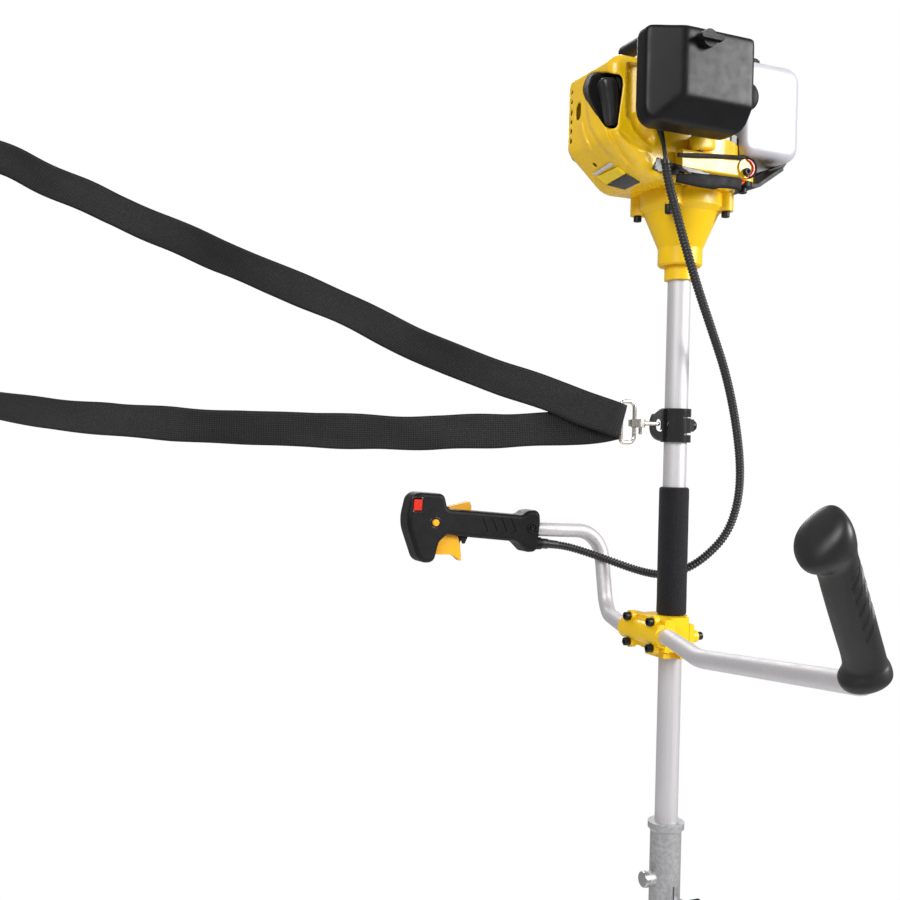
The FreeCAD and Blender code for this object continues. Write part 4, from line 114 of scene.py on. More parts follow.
# the strap
STRAP_WIDTH = 38.0 * MM
STRAP_THICK = 1.6 * MM
STRAP_STEP = 3.0 * MM
STRAP_COLUMNS = 14
STRAP_WAVE = 1.6 * MM
STRAP_EDGE_WAVE = 3.4 * MM
STRAP_TILT = math.radians(20)
STRAP_CALM = 50.0 * MM    # the waves die away over this length at both ends
STRAP_FINE = 3000
WEAVE_ROW = 2.7 * MM
WEAVE_COLUMN = 2.3 * MM
WEAVE_BUMP = 0.5 * MM
STRAP_ROUTE = (
    # centre of the webbing, then the way its width runs
    ((-73, -3.4, -162.3), (0, 0, 1)), ((-79, -3, -160.5), (0.1, 0, 1)),
    ((-94, 6, -154), (0.25, 0, 1)), ((-135, 34, -137), (0.35, -0.1, 1)),
    ((-203, 76, -111), (0.38, -0.15, 1)), ((-271, 118, -80), (0.45, -0.22, 1)),
    ((-358, 170, -33), (0.45, -0.22, 1)), ((-448, 226, 9), (0.40, -0.20, 1)),
    ((-543, 285, 56), (0.42, -0.22, 1)), ((-631, 339, 99), (0.42, -0.25, 1)),
    ((-706, 385, 138), (0.38, -0.15, 1)), ((-768, 414, 152), (0.42, 0.05, 1)),
    ((-824, 424, 138), (0.55, 0.30, 0.9)), ((-862, 418, 100), (0.62, 0.55, 0.7)),
    ((-878, 398, 48), (0.60, 0.80, 0.45)), ((-872, 368, -10), (0.60, 0.90, 0.2)),
    ((-848, 334, -68), (0.55, 0.90, 0.05)), ((-808, 303, -116), (0.40, 0.90, 0.15)),
    ((-758, 279, -147), (0.25, 0.80, 0.40)), ((-703, 259, -162), (0.15, 0.65, 0.65)),
    ((-640, 234, -170), (0.08, 0.42, 0.9)), ((-575, 207, -175), (0.05, 0.15, 1)),
    ((-479, 167, -179), (0, 0, 1)), ((-370, 126, -180), (0, 0, 1)),
    ((-284, 96, -180), (0.02, 0, 1)), ((-212, 69, -177), (0.04, 0, 1)),
    ((-135, 38, -172), (0.06, 0, 1)), ((-92, 14, -167), (0.06, 0, 1)),
    ((-73, 3.4, -162.3), (0, 0, 1)),
)

# the foam
FOAM_SIDES = 72
FOAM_RINGS = 90
FOAM_EDGE = 3.0 * MM
FOAM_EDGE_STEPS = 5
FOAM_WALL = 4.0 * MM
FOAM_DENT = 0.5 * MM

# the near grip
GRIP_FOOT = Vector((-119, -420, -366)) * MM
GRIP_TIP = Vector((-174, -434.3, -260.3)) * MM
GRIP_OUTWARD = Vector((0.812, -0.471, 0.344))
GRIP_START = 5.0 * MM
GRIP_ROUND = 300
GRIP_ROWS = 300
GRIP_FINE = 900
GRIP_KNURL = 0.09 * MM
GRIP_KNURL_PITCH = 2.1 * MM
GRIP_BARREL = 15.6 * MM
GRIP_PANELS = 5
GRIP_PANEL_PITCH = 10.7 * MM
GRIP_PANEL_GAP = 2.1 * MM
GRIP_PANEL_FIRST = 42.0 * MM
GRIP_PANEL_SLOPE = 1.05
GRIP_PANEL_FROM = math.radians(6)
GRIP_PANEL_TO = math.radians(152)
GRIP_PANEL_DEPTH = 1.1 * MM
GRIP_PANEL_RANGE = (28.0 * MM, 98.0 * MM)
GRIP_PANEL_EDGE = 0.8 * MM
GRIP_PANEL_TURN = math.radians(2.5)
GRIP_STATIONS = (
    # along the grip, half width outward and across, squareness, slant outward and across, shift outward
    (-1.0, 13.0, 13.0, 2.0, 0.0, 0.0, -2.8), (0.0, 16.0, 15.4, 2.0, 0.0, 0.0, -2.8),
    (1.5, 18.2, 17.2, 2.1, 0.0, 0.0, -2.8), (4.0, 19.4, 18.4, 2.2, 0.0, 0.0, -2.8),
    (8.0, 19.6, 18.4, 2.2, 0.0, 0.0, -2.6), (11.5, 18.6, 17.4, 2.2, 0.04, 0.0, -2.0),
    (14.5, 17.0, 16.2, 2.2, 0.04, 0.0, -1.2), (18.0, 15.9, 15.5, 2.2, 0.04, 0.0, -0.5),
    (24.0, 15.5, 15.2, 2.2, 0.0, 0.0, 0.0), (40.0, 15.5, 15.3, 2.2, 0.0, 0.0, 0.0),
    (60.0, 15.7, 15.5, 2.2, 0.0, 0.0, 0.0), (80.0, 15.7, 15.5, 2.2, 0.0, 0.0, 0.0),
    (96.0, 15.7, 15.5, 2.2, 0.0, 0.0, 0.0), (103.0, 16.2, 15.9, 2.2, 0.14, 0.05, -0.8),
    (107.5, 18.0, 17.2, 2.3, 0.22, 0.10, -2.2), (111.5, 20.0, 18.8, 2.4, 0.26, 0.14, -3.4),
    (115.5, 21.2, 19.8, 2.4, 0.30, 0.18, -4.2), (119.5, 21.6, 20.1, 2.5, 0.34, 0.22, -4.6),
    (124.0, 21.1, 19.6, 2.6, 0.40, 0.26, -4.8), (128.0, 19.6, 18.1, 2.6, 0.44, 0.28, -5.0),
    (131.0, 17.2, 15.8, 2.6, 0.46, 0.30, -5.0), (132.8, 13.8, 12.6, 2.5, 0.47, 0.30, -5.0),
    (133.9, 9.0, 8.2, 2.4, 0.47, 0.30, -5.0), (134.3, 3.6, 3.2, 2.2, 0.47, 0.30, -5.0),
)

# the filter cover
COVER_VOXEL = 1.5 * MM
COVER_ROUNDS = 26

# the cowl's sculpted face
COWL_VOXEL = 1.2 * MM
COWL_ROUNDS = 4
COWL_PLANE_Y = -50.0
COWL_SHEAR_X = 0.61
COWL_SHEAR_Z = 0.32
COWL_PRESS = Vector((0.61, 1.0, 0.31)).normalized()
COWL_DEEP_Y = (24.0, 6.0)
COWL_EASE = 1.3
COWL_FACING = 2.5
# how far the upper left corner rises, over which heights and from which x to which
COWL_LIFT = (13.0, 174.0, 190.0, -122.0, -138.0)
COWL_STEPS = (
    # height and reach in mm on the outer side, the same on the inner side, soft start and end in mm,
    # then the step's line on the front face from its top down
    (2.8, 5.0, -1.6, 3.4, 0.1, 16.0, ((-163, 146), (-161, 137), (-157, 128), (-152, 120), (-148, 111))),
    (-1.8, 4.5, 3.0, 8.0, 12.0, 26.0,
     ((-159, 176), (-157, 159), (-153, 142), (-145, 131), (-136, 121), (-123, 112), (-112, 106))),
    (-0.6, 3.0, -5.0, 5.0, 5.0, 24.0,
     ((-134, 148), (-132, 144), (-128, 135), (-121, 125), (-113, 116), (-104, 108), (-92, 102))),
    (3.2, 6.5, -1.6, 5.0, 9.0, 16.0, ((-120, 142), (-111, 136), (-102, 130), (-89, 127), (-72, 126))),
    (2.0, 3.5, -10.0, 13.0, 0.1, 12.0,
     ((-108, 215), (-107.5, 175), (-107, 158), (-101, 154), (-97, 146), (-87, 138), (-72, 130))),
)
COWL_BULGE = (2.4, 9.0, (-95, 119))

# the plug's well and boot
WELL_OUTLINE = (
    (-147.0, 199.5), (-153.0, 178.0), (-131.0, 143.0), (-125.0, 139.5), (-119.0, 143.0), (-113.0, 190.0),
    (-114.0, 200.5),
)
WELL_WAY = Vector((0.39, 0.88, 0.27)).normalized()
WELL_FACE_Y = -50.0
WELL_GROWN = 1.09
WELL_BEHIND = 3.4 * MM
WELL_BACK_Y = -24.0 * MM
WELL_STEPS = 8
WELL_SPLIT = 8
WELL_ROUNDS = 6
WELL_FLOOR = (0.9, 0.6, 0.3, 0.02)
BOOT_STATIONS = (
    # height, centre x, half width, half depth, squareness
    (148.0, -117.6, 2.6, 2.4, 2.4), (148.6, -117.6, 5.0, 4.4, 2.6), (150.8, -117.5, 6.6, 5.8, 2.8),
    (154.4, -117.4, 7.3, 6.4, 2.8), (162.4, -117.9, 8.0, 7.0, 2.8), (170.4, -118.7, 8.8, 7.6, 2.8),
    (181.4, -120.5, 9.8, 8.4, 2.8), (189.4, -122.1, 10.4, 8.9, 2.8), (194.4, -123.1, 10.2, 8.6, 2.6),
    (197.4, -123.6, 8.4, 7.4, 2.4), (199.0, -123.7, 4.2, 4.0, 2.0),
)
BOOT_Y = -37.0
BOOT_ROUND = 72
BOOT_ROWS = 80
BOOT_RIDGES = ((0.10, 0.30), (2.35, 0.24), (4.05, 0.26))    # angle and half width of each, in radians
BOOT_RIDGE_TALL = 0.13
BOOT_RIDGE_START = 14.0 * MM
SOCKET_FROM = Vector((-99.0, -17.0, 172.0)) * MM
SOCKET_TO = Vector((-121.0, -37.0, 172.0)) * MM
SOCKET_RADIUS = 9.0 * MM
SOCKET_ROUND = 40
SOCKET_PROFILE = ((0.0, 0.86), (0.03, 0.97), (0.07, 1.0), (0.30, 1.0), (0.36, 0.93), (0.42, 1.0), (1.0, 0.9))

# blank plates pressed onto the covers
PLATES = (
    # name, surface, y of the plane its outline is drawn in, the way it is pressed, thickness and ease in mm,
    # then the outline
    ("plate_white", "label_white", -50.0, (0.61, 1.0, 0.31), 0.4, 2.4,
     ((-148.3, 91.1), (-125.7, 106.9), (-121.4, 105.2), (-144.6, 89.3))),
    ("plate_yellow", "label_yellow", -50.0, (0.61, 1.0, 0.31), 0.3, 2.4,
     ((-143.0, 88.6), (-116.1, 103.7), (-105.8, 97.8), (-129.7, 81.7))),
    ("plate_dark", "label_dark", -50.0, (0.61, 1.0, 0.31), 0.4, 2.4,
     ((-129.7, 81.2), (-105.2, 97.3), (-87.8, 90.4), (-106.3, 79.0))),
    ("plate_black", "label_black", -67.0, (0.70, 1.0, 0.31), 0.7, 5.0,
     ((-79.5, 114.6), (-58.5, 111.0), (-11.0, 106.4), (-12.4, 103.4), (-44.5, 103.0), (-46.0, 94.0),
      (-55.9, 98.3), (-71.7, 98.5), (-86.4, 101.6))),
)
PLATE_STEP = 1.4
PLATE_SUNK = 0.2
PRESS_BACK = 60.0 * MM    # pressing starts this far in front of a place
PRESS_REACH = 0.16

# trim on the fan housing's arm
STRIPS = (
    # name, surface, squareness, then stations: x, y, z, half width, half depth
    ("arm_seal_top", "black_rubber", 4.0, (
        (-53.5, -66.2, 120.8, 2.5, 1.4), (-47.0, -66.4, 121.2, 2.2, 1.5), (-29.0, -66.6, 123.1, 2.4, 1.6),
        (1.4, -66.8, 126.2, 2.1, 1.6), (25.0, -67.6, 128.0, 2.2, 1.6), (33.8, -68.4, 129.2, 2.4, 1.6))),
    ("arm_wrap_low", "soft_black", 3.0, (
        (-49.0, -58.0, 98.2, 4.6, 2.2), (-44.0, -61.0, 97.6, 5.0, 2.4), (-28.4, -64.6, 97.4, 7.0, 2.8),
        (-12.0, -65.6, 97.4, 7.6, 3.0), (-6.0, -65.8, 97.6, 7.9, 3.2), (2.0, -65.8, 98.8, 6.8, 3.0),
        (14.0, -65.4, 99.6, 6.4, 2.8), (26.0, -64.8, 99.8, 6.4, 2.6), (31.6, -64.4, 99.4, 6.8, 2.6))),
    ("arm_rim", "black_rubber", 3.0, (
        (31.0, -67.6, 130.0, 1.2, 1.8), (38.0, -67.8, 129.0, 1.3, 1.8), (44.6, -67.8, 126.2, 1.3, 1.8),
        (48.4, -67.8, 120.6, 1.3, 1.8), (48.0, -67.8, 114.0, 1.2, 1.8), (44.2, -67.8, 109.0, 1.0, 1.8),
        (38.6, -67.8, 106.4, 0.8, 1.8))),
    ("arm_ring", "red_plastic", 3.0, (
        (36.0, -67.6, 127.3, 0.7, 1.0), (41.4, -67.8, 125.4, 1.3, 1.2), (45.4, -67.8, 120.9, 1.6, 1.2),
        (45.4, -67.8, 115.0, 1.5, 1.2), (41.6, -67.8, 109.8, 1.1, 1.2), (37.0, -67.6, 108.4, 0.6, 1.0))),
    ("arm_tail", "red_plastic", 3.0, (
        (31.0, -62.0, 101.4, 1.4, 1.2), (35.4, -61.0, 102.4, 1.8, 1.2), (40.0, -60.0, 105.2, 0.8, 1.0))),
    ("cylinder_lug", "yellow_paint", 4.0, (
        (-31.0, -56.0, 137.5, 7.6, 6.0), (-28.0, -57.5, 137.8, 8.0, 7.0), (-17.0, -58.0, 138.6, 8.0, 7.4),
        (-6.0, -57.0, 139.6, 7.0, 6.6), (-2.6, -55.0, 139.8, 6.0, 5.4))),
    ("insulator_flange", "cast_aluminium", 5.0, (
        (-14.0, -56.0, 150.0, 3.0, 5.0), (0.0, -55.0, 150.4, 3.4, 6.0), (12.0, -52.0, 149.4, 4.6, 6.0),
        (24.0, -48.0, 148.6, 5.4, 6.0), (37.0, -42.0, 148.2, 5.6, 5.0))),
    ("cover_latch", "black_plastic", 2.4, (
        (22.0, -86.0, 176.0, 3.0, 2.4), (25.0, -87.0, 180.0, 5.4, 3.6), (26.6, -88.0, 188.0, 6.6, 4.0),
        (25.0, -87.0, 197.0, 5.2, 3.6), (22.0, -86.0, 201.0, 2.6, 2.2))),
)
STRIP_COUNT = 90
STRIP_ROUND = 24
STRIP_END = 1.6 * MM
SCREWS = (
    # name, centre of the head's inner face, the way the head points, head radius and height
    ("arm_screw", (36.0, -67.0, 113.2), (0.0, -1.0, 0.0), 4.3, 4.6),
    ("lug_screw", (-21.5, -59.0, 136.4), (0.0, 0.0, -1.0), 4.8, 8.4),
    ("bell_clip_screw", (-39.2, -31.8, 76.0), (0.0, 0.0, -1.0), 4.2, 10.0),
)
SCREW_ROUND = 48
COLLARS = (
    # name, surface, x and z of its middle, half width and height, squareness,
    # then the profile: growth sideways and height off the face in mm
    ("switch_bezel", "black_gloss", (-258.7, -262.3), (6.3, 8.2), 8.0,
     ((0.9, -0.6), (0.9, 0.5), (0.6, 0.9), (-0.5, 0.9), (-0.8, 0.6), (-0.8, -0.6))),
    ("button_collar", "black_gloss", (-236.0, -283.0), (6.4, 6.4), 2.0,
     ((0.6, -0.3), (0.5, 0.2), (0.0, 0.35), (-1.2, 0.1), (-2.0, -0.8))),
    ("handle_boss", "black_plastic", (-108.0, -290.0), (6.0, 6.0), 2.0,
     ((0.6, -0.4), (0.5, 0.9), (0.0, 1.3), (-1.3, 1.3), (-1.8, 0.9), (-1.9, -0.2), (-3.6, -0.3),
      (-5.8, -0.3))),
)
COLLAR_ROUND = 64
HANDLE_FRONT = 100.0    # y of a plane in front of the handle's face
HANDLE_SCREW = ("handle_screw", (-108.0, -290.0), 2.9, 1.8)
HANDLE_SCREW_ASIDE = 6.0    # its seat is felt for this far beside its middle

# starter rope, hidden in the handle's stem at rest
ROPE_FROM = Vector((-43.0, -22.0, 246.0)) * MM
ROPE_TO = Vector((-61.0, -22.0, 246.0)) * MM
ROPE_RADIUS = 1.5 * MM
ROPE_RINGS = 40
ROPE_ROUND = 16


# ==== materials
NOISE_RANGE = (0.3, 0.7)
DUST = (0.16, 0.155, 0.15)
BARE_METAL = (0.42, 0.42, 0.43)


class Surface:
    """One procedural material: a Principled shader and the nodes that drive it."""

    def __init__(self, name, **inputs):
        self.material = bpy.data.materials.new(name)
        self.material.use_nodes = True
        self.tree = self.material.node_tree
        self.tree.nodes.clear()
        output = self.tree.nodes.new("ShaderNodeOutputMaterial")
        self.shader = self.tree.nodes.new("ShaderNodeBsdfPrincipled")
        self.link(self.shader.outputs["BSDF"], output.inputs["Surface"])
        for socket, value in inputs.items():
            self.shader.inputs[socket.replace("_", " ")].default_value = value
        self.place = self.tree.nodes.new("ShaderNodeTexCoord").outputs["Object"]

    def link(self, source, target):
        self.tree.links.new(source, target)

    def node(self, kind, **inputs):
        made = self.tree.nodes.new("ShaderNode" + kind)
        for socket, value in inputs.items():
            target = made.inputs[socket.replace("_", " ")]
            if isinstance(value, bpy.types.NodeSocket):
                self.link(value, target)
            else:
                target.default_value = value
        return made

    def stretched(self, factors):
        made = self.node("Mapping", Vector=self.place)
        made.inputs["Scale"].default_value = factors
        return made.outputs["Vector"]

    def noise(self, scale, detail=3.0, where=None):
        made = self.node("TexNoise", Vector=where or self.place, Scale=scale, Detail=detail)
        return made.outputs["Fac"]

    def cells(self, scale):
        return self.node("TexVoronoi", Vector=self.place, Scale=scale).outputs["Distance"]

    def math(self, operation, a, b=0.0):
        made = self.tree.nodes.new("ShaderNodeMath")
        made.operation = operation
        for socket, value in zip(made.inputs, (a, b)):
            if isinstance(value, bpy.types.NodeSocket):
                self.link(value, socket)
            else:
                socket.default_value = value
        return made.outputs["Value"]

    def ramp(self, factor, *stops):
        made = self.node("ValToRGB", Fac=factor)
        elements = made.color_ramp.elements
        while len(elements) < len(stops):
            elements.new(0.5)
        for element, (position, colour) in zip(elements, stops):
            element.position = position
            element.color = tuple(colour) + (1.0,)
        return made.outputs["Color"]

    def spread(self, factor, low, high):
        """Noise's usual range stretched to low and high."""
        made = self.node("MapRange", Value=factor)
        for socket, value in zip(("From Min", "From Max", "To Min", "To Max"), (*NOISE_RANGE, low, high)):
            made.inputs[socket].default_value = value
        return made.outputs["Result"]

    def shaded(self, factor, colour, darker, lighter):
        """The colour in a darker and a lighter shade, laid out by the noise's usual range."""
        low, high = NOISE_RANGE
        return self.ramp(factor, (low, shades(colour, darker)), (high, shades(colour, lighter)))

    def mix(self, factor, a, b):
        made = self.tree.nodes.new("ShaderNodeMix")
        made.data_type = "RGBA"
        for socket, value in ((made.inputs[0], factor), (made.inputs[6], a), (made.inputs[7], b)):
            if isinstance(value, bpy.types.NodeSocket):
                self.link(value, socket)
            elif isinstance(value, float):
                socket.default_value = value
            else:
                socket.default_value = tuple(value) + (1.0,)
        return made.outputs[2]

    def colour(self, socket):
        self.link(socket, self.shader.inputs["Base Color"])

    def roughness(self, socket):
        self.link(socket, self.shader.inputs["Roughness"])

    def bump(self, height, distance, under=None):
        made = self.node("Bump", Height=height, Strength=1.0, Distance=distance)
        if under is not None:
            self.link(under, made.inputs["Normal"])
        self.link(made.outputs["Normal"], self.shader.inputs["Normal"])

    def rounded(self, radius):
        made = self.node("Bevel", Radius=radius)
        made.samples = 4
        return made.outputs["Normal"]

    def edge_wear(self, radius, strength):
        """A mask that is 1 on the sharp outer edges, broken up by fine noise."""
        dot = self.tree.nodes.new("ShaderNodeVectorMath")
        dot.operation = "DOT_PRODUCT"
        self.link(self.rounded(radius), dot.inputs[0])
        self.link(self.node("NewGeometry").outputs["Normal"], dot.inputs[1])
        turned = self.math("SUBTRACT", 1.0, dot.outputs["Value"])
        broken = self.math("MULTIPLY", turned, self.noise(900.0))
        return self.math("MINIMUM", self.math("MULTIPLY", broken, strength), 1.0)


def shades(colour, factor):
    return tuple(min(1.0, c * factor) for c in colour)


def moulded(name, colour, rough=(0.32, 0.45), grain=(1600.0, 0.05 * MM), coat=0.0, edge=0.35 * MM,
            tone=0.10, dust=0.0, shine=0.5):
    """Moulded plastic or rubber: a fine grain, uneven gloss and faintly mottled colour."""
    s = Surface(name, Coat_Weight=coat, Coat_Roughness=0.12, Specular_IOR_Level=shine)
    toned = s.shaded(s.noise(28.0, 4.0), colour, 1.0 - tone, 1.0 + tone)
    if dust:
        toned = s.mix(s.spread(s.noise(420.0, 5.0), 0.0, dust), toned, DUST)
    s.colour(toned)
    s.roughness(s.spread(s.noise(90.0, 4.0), *rough))
    s.bump(s.noise(grain[0], 2.0), grain[1], under=s.rounded(edge))
    return s.material


def painted(name, colour):
    """Powder-coated casting: slight orange peel, and the metal barely showing at sharp edges."""
    s = Surface(name, Coat_Weight=0.10, Coat_Roughness=0.16, Specular_IOR_Level=0.35)
    toned = s.shaded(s.noise(22.0, 3.0), colour, 0.93, 1.05)
    s.colour(s.mix(s.edge_wear(0.45 * MM, 0.5), toned, BARE_METAL))
    s.roughness(s.spread(s.noise(120.0, 4.0), 0.28, 0.42))
    s.bump(s.noise(700.0, 2.0), 0.05 * MM, under=s.rounded(0.6 * MM))
    return s.material


def metal(name, colour, rough, streak=None, metallic=1.0):
    """Metal with a fine grain, drawn out into streaks where streak stretches it."""
    s = Surface(name, Metallic=metallic)
    where = s.stretched(streak) if streak else s.place
    fine = s.noise(900.0, 4.0, where)
    s.colour(s.shaded(fine, colour, 0.93, 1.05))
    s.roughness(s.spread(s.noise(60.0, 5.0, where), *rough))
    s.bump(fine, 0.02 * MM, under=s.rounded(0.3 * MM))
    return s.material


def cast(name, colour):
    """Sand-cast metal: rough, with a mottled tone."""
    s = Surface(name, Metallic=0.75)
    s.colour(s.shaded(s.noise(260.0, 5.0), colour, 0.8, 1.1))
    s.roughness(s.spread(s.noise(300.0, 4.0), 0.42, 0.62))
    s.bump(s.noise(1300.0, 4.0), 0.18 * MM, under=s.rounded(0.5 * MM))
    return s.material


def milky(name, colour):
    """Blow-moulded plastic that lets some light in."""
    s = Surface(name, Subsurface_Weight=0.35, Subsurface_Radius=(0.006, 0.006, 0.007),
                Subsurface_Scale=1.0, Coat_Weight=0.1)
    s.colour(s.shaded(s.noise(14.0, 3.0), colour, 0.97, 1.02))
    s.roughness(s.spread(s.noise(70.0, 4.0), 0.34, 0.46))
    s.bump(s.noise(1100.0, 2.0), 0.04 * MM, under=s.rounded(1.0 * MM))
    return s.material


def sponge(name, colour):
    """Closed-cell foam: small open pits with painted shade in them, and a matte skin."""
    s = Surface(name, Sheen_Weight=0.08, Sheen_Roughness=0.6, Specular_IOR_Level=0.15)
    pits = s.cells(900.0)
    # painted shade: the colour falls to 0.45 of itself in the pits and is 1.2 of itself on the skin between
    # them
    s.colour(s.ramp(pits, (0.0, shades(colour, 0.45)), (0.45, shades(colour, 1.2))))
    s.roughness(s.spread(s.noise(300.0, 3.0), 0.82, 0.97))
    s.bump(s.math("ADD", pits, s.noise(350.0, 3.0)), 0.5 * MM)
    return s.material


def woven(name, colour):
    """Ribbed webbing on metre-scaled UVs: raised cross ribs, each made of small side-by-side stitches, with
    painted shade in the grooves between them.
    """
    s = Surface(name, Sheen_Weight=0.04, Sheen_Roughness=0.4, Specular_IOR_Level=0.35)
    uv = s.node("UVMap")
    uv.uv_map = "weave"
    parts = s.node("SeparateXYZ", Vector=uv.outputs["UV"])
    across, along = parts.outputs["X"], parts.outputs["Y"]
    wander = s.math("MULTIPLY", s.noise(60.0, 2.0), 1.2)
    row = s.math("ADD", s.math("MULTIPLY", along, 2 * math.pi / WEAVE_ROW), wander)
    column = s.math("MULTIPLY", across, 2 * math.pi / WEAVE_COLUMN)

    def eased(value, share):
        return s.math("ADD", s.math("MULTIPLY", value, share), 1.0 - share)

    ribs, threads = eased(s.math("SINE", row), 0.5), eased(s.math("SINE", column), 0.5)
    height = s.math("MULTIPLY", eased(ribs, 0.7), eased(threads, 0.5))
    tone = s.mix(s.noise(35.0, 4.0), shades(colour, 0.6), shades(colour, 1.7))
    # painted shade: where the height is low, in the grooves between ribs and stitches, the colour falls to
    # 0.15 of itself; the ribs keep the randomly toned colour
    s.colour(s.mix(height, shades(colour, 0.15), tone))
    s.roughness(s.spread(s.noise(500.0, 3.0), 0.50, 0.75))
    s.bump(height, WEAVE_BUMP)
    return s.material


def porcelain(name, colour):
    """Glazed white insulator."""
    s = Surface(name, Coat_Weight=0.8, Coat_Roughness=0.05)
    s.colour(s.shaded(s.noise(120.0, 2.0), colour, 0.96, 1.0))
    s.roughness(s.spread(s.noise(200.0, 3.0), 0.12, 0.2))
    s.bump(s.noise(500.0, 2.0), 0.01 * MM)
    return s.material


YELLOW = (0.98, 0.600, 0.006)
LEVER = (0.96, 0.460, 0.012)

SURFACES = (
    # name, maker, colour, what differs from the maker's own values
    ("yellow_paint", painted, YELLOW, {}),
    ("yellow_plastic", moulded, YELLOW,
     dict(rough=(0.22, 0.34), coat=0.3, tone=0.04, grain=(900.0, 0.03 * MM), edge=0.6 * MM)),
    ("orange_plastic", moulded, LEVER, dict(rough=(0.28, 0.40), coat=0.15, tone=0.05)),
    ("black_plastic", moulded, (0.008, 0.008, 0.009),
     dict(rough=(0.36, 0.50), grain=(1900.0, 0.07 * MM), tone=0.18, dust=0.03, shine=0.22)),
    ("cover_plastic", moulded, (0.005, 0.005, 0.006),
     dict(rough=(0.30, 0.40), grain=(1700.0, 0.05 * MM), tone=0.12, dust=0.01, shine=0.24)),
    ("black_gloss", moulded, (0.010, 0.010, 0.011),
     dict(rough=(0.14, 0.24), coat=0.5, grain=(800.0, 0.02 * MM))),
    ("boot_rubber", moulded, (0.014, 0.013, 0.014),
     dict(rough=(0.26, 0.36), grain=(900.0, 0.03 * MM), tone=0.1, shine=0.6)),
    ("grip_rubber", moulded, (0.014, 0.0125, 0.0135),
     dict(rough=(0.34, 0.46), grain=(1500.0, 0.06 * MM), tone=0.12, dust=0.02, shine=0.5)),
    ("black_rubber", moulded, (0.010, 0.010, 0.011),
     dict(rough=(0.52, 0.68), grain=(1400.0, 0.10 * MM), tone=0.15, dust=0.03, shine=0.20)),
    ("foam", sponge, (0.013, 0.013, 0.016), {}),
    ("silver_tube", metal, (0.69, 0.67, 0.69),
     dict(rough=(0.48, 0.6), streak=(1.0, 1.0, 0.02), metallic=0.55)),
    ("black_steel", metal, (0.022, 0.022, 0.024), dict(rough=(0.30, 0.46), metallic=0.6)),
    ("steel", metal, (0.55, 0.55, 0.56), dict(rough=(0.24, 0.38))),
    ("nickel", metal, (0.74, 0.70, 0.64), dict(rough=(0.16, 0.28))),
    ("cast_aluminium", cast, (0.52, 0.52, 0.53), {}),
    ("tank_white", milky, (0.53, 0.52, 0.57), {}),
    ("soft_black", moulded, (0.012, 0.012, 0.014),
     dict(rough=(0.55, 0.75), grain=(500.0, 0.25 * MM), tone=0.2, shine=0.25)),
    ("label_white", moulded, (0.62, 0.62, 0.66), dict(rough=(0.22, 0.32), tone=0.03)),
    ("label_yellow", moulded, (0.99, 0.70, 0.004), dict(rough=(0.16, 0.24), coat=0.4, tone=0.02)),
    ("label_dark", moulded, (0.045, 0.043, 0.045), dict(rough=(0.22, 0.34), coat=0.2, tone=0.05)),
    ("label_black", moulded, (0.016, 0.015, 0.018), dict(rough=(0.24, 0.36), coat=0.2, tone=0.05)),
    ("webbing", woven, (0.013, 0.012, 0.013), {}),
    ("red_plastic", moulded, (0.80, 0.025, 0.008), dict(rough=(0.2, 0.3), coat=0.4)),
    ("conduit", moulded, (0.016, 0.016, 0.017), dict(rough=(0.30, 0.42), grain=(1200.0, 0.03 * MM))),
    ("line_nylon", moulded, (0.75, 0.22, 0.02), dict(rough=(0.2, 0.3))),
    ("porcelain", porcelain, (0.82, 0.81, 0.78), {}),
)
MATERIALS = {name: maker(name, colour, **more) for name, maker, colour, more in SURFACES}


def dress(obj, surface):
    obj.data.materials.clear()
    obj.data.materials.append(MATERIALS[surface])


# ==== meshes
def placed(name, data):
    """A new object in the scene."""
    made = bpy.data.objects.new(name, data)
    bpy.context.scene.collection.objects.link(made)
    return made


def evaluated(piece):
    """An object's mesh once its modifiers or its curve are worked out."""
    graph = bpy.context.evaluated_depsgraph_get()
    return bpy.data.meshes.new_from_object(piece.evaluated_get(graph))


def new_mesh(name, vertices, faces):
    mesh = bpy.data.meshes.new(name)
    mesh.from_pydata([tuple(v) for v in vertices], [], faces)
    mesh.validate()
    mesh.polygons.foreach_set("use_smooth", [True] * len(mesh.polygons))
    return placed(name, mesh)


def turns(count):
    """Even angles once round."""
    return [2 * math.pi * k / count for k in range(count)]


def circle(place, side, up, radius, count):
    return [place + (side * math.cos(a) + up * math.sin(a)) * radius for a in turns(count)]


def rings_mesh(name, rings, caps=True):
    """A skin over equal rings of points."""
    count = len(rings[0])
    vertices = [p for ring in rings for p in ring]
    faces = []
    for i in range(len(rings) - 1):
        here, there = i * count, (i + 1) * count
        for k in range(count):
            following = (k + 1) % count
            faces.append((here + k, here + following, there + following, there + k))
    if caps:
        faces.append(tuple(reversed(range(count))))
        faces.append(tuple(range((len(rings) - 1) * count, len(rings) * count)))
    return new_mesh(name, vertices, faces)


def spline_line(name, points):
    """The polyline that a NURBS spline of order 3 through its own control points draws."""
    curve = bpy.data.curves.new(name + "_line", "CURVE")
    curve.dimensions = "3D"
    spline = curve.splines.new("NURBS")
    spline.points.add(len(points) - 1)
    for target, point in zip(spline.points, points):
        target.co = (*point, 1.0)
    spline.order_u = 3
    spline.use_endpoint_u = True
    spline.resolution_u = CONDUIT_FINE
    holder = placed(name + "_line", curve)
    line = [v.co.copy() for v in evaluated(holder).vertices]
    bpy.data.objects.remove(holder)
    return line


def walked(line):
    """How far along a line each of its points is."""
    lengths = [0.0]
    for a, b in zip(line, line[1:]):
        lengths.append(lengths[-1] + (b - a).length)
    return lengths


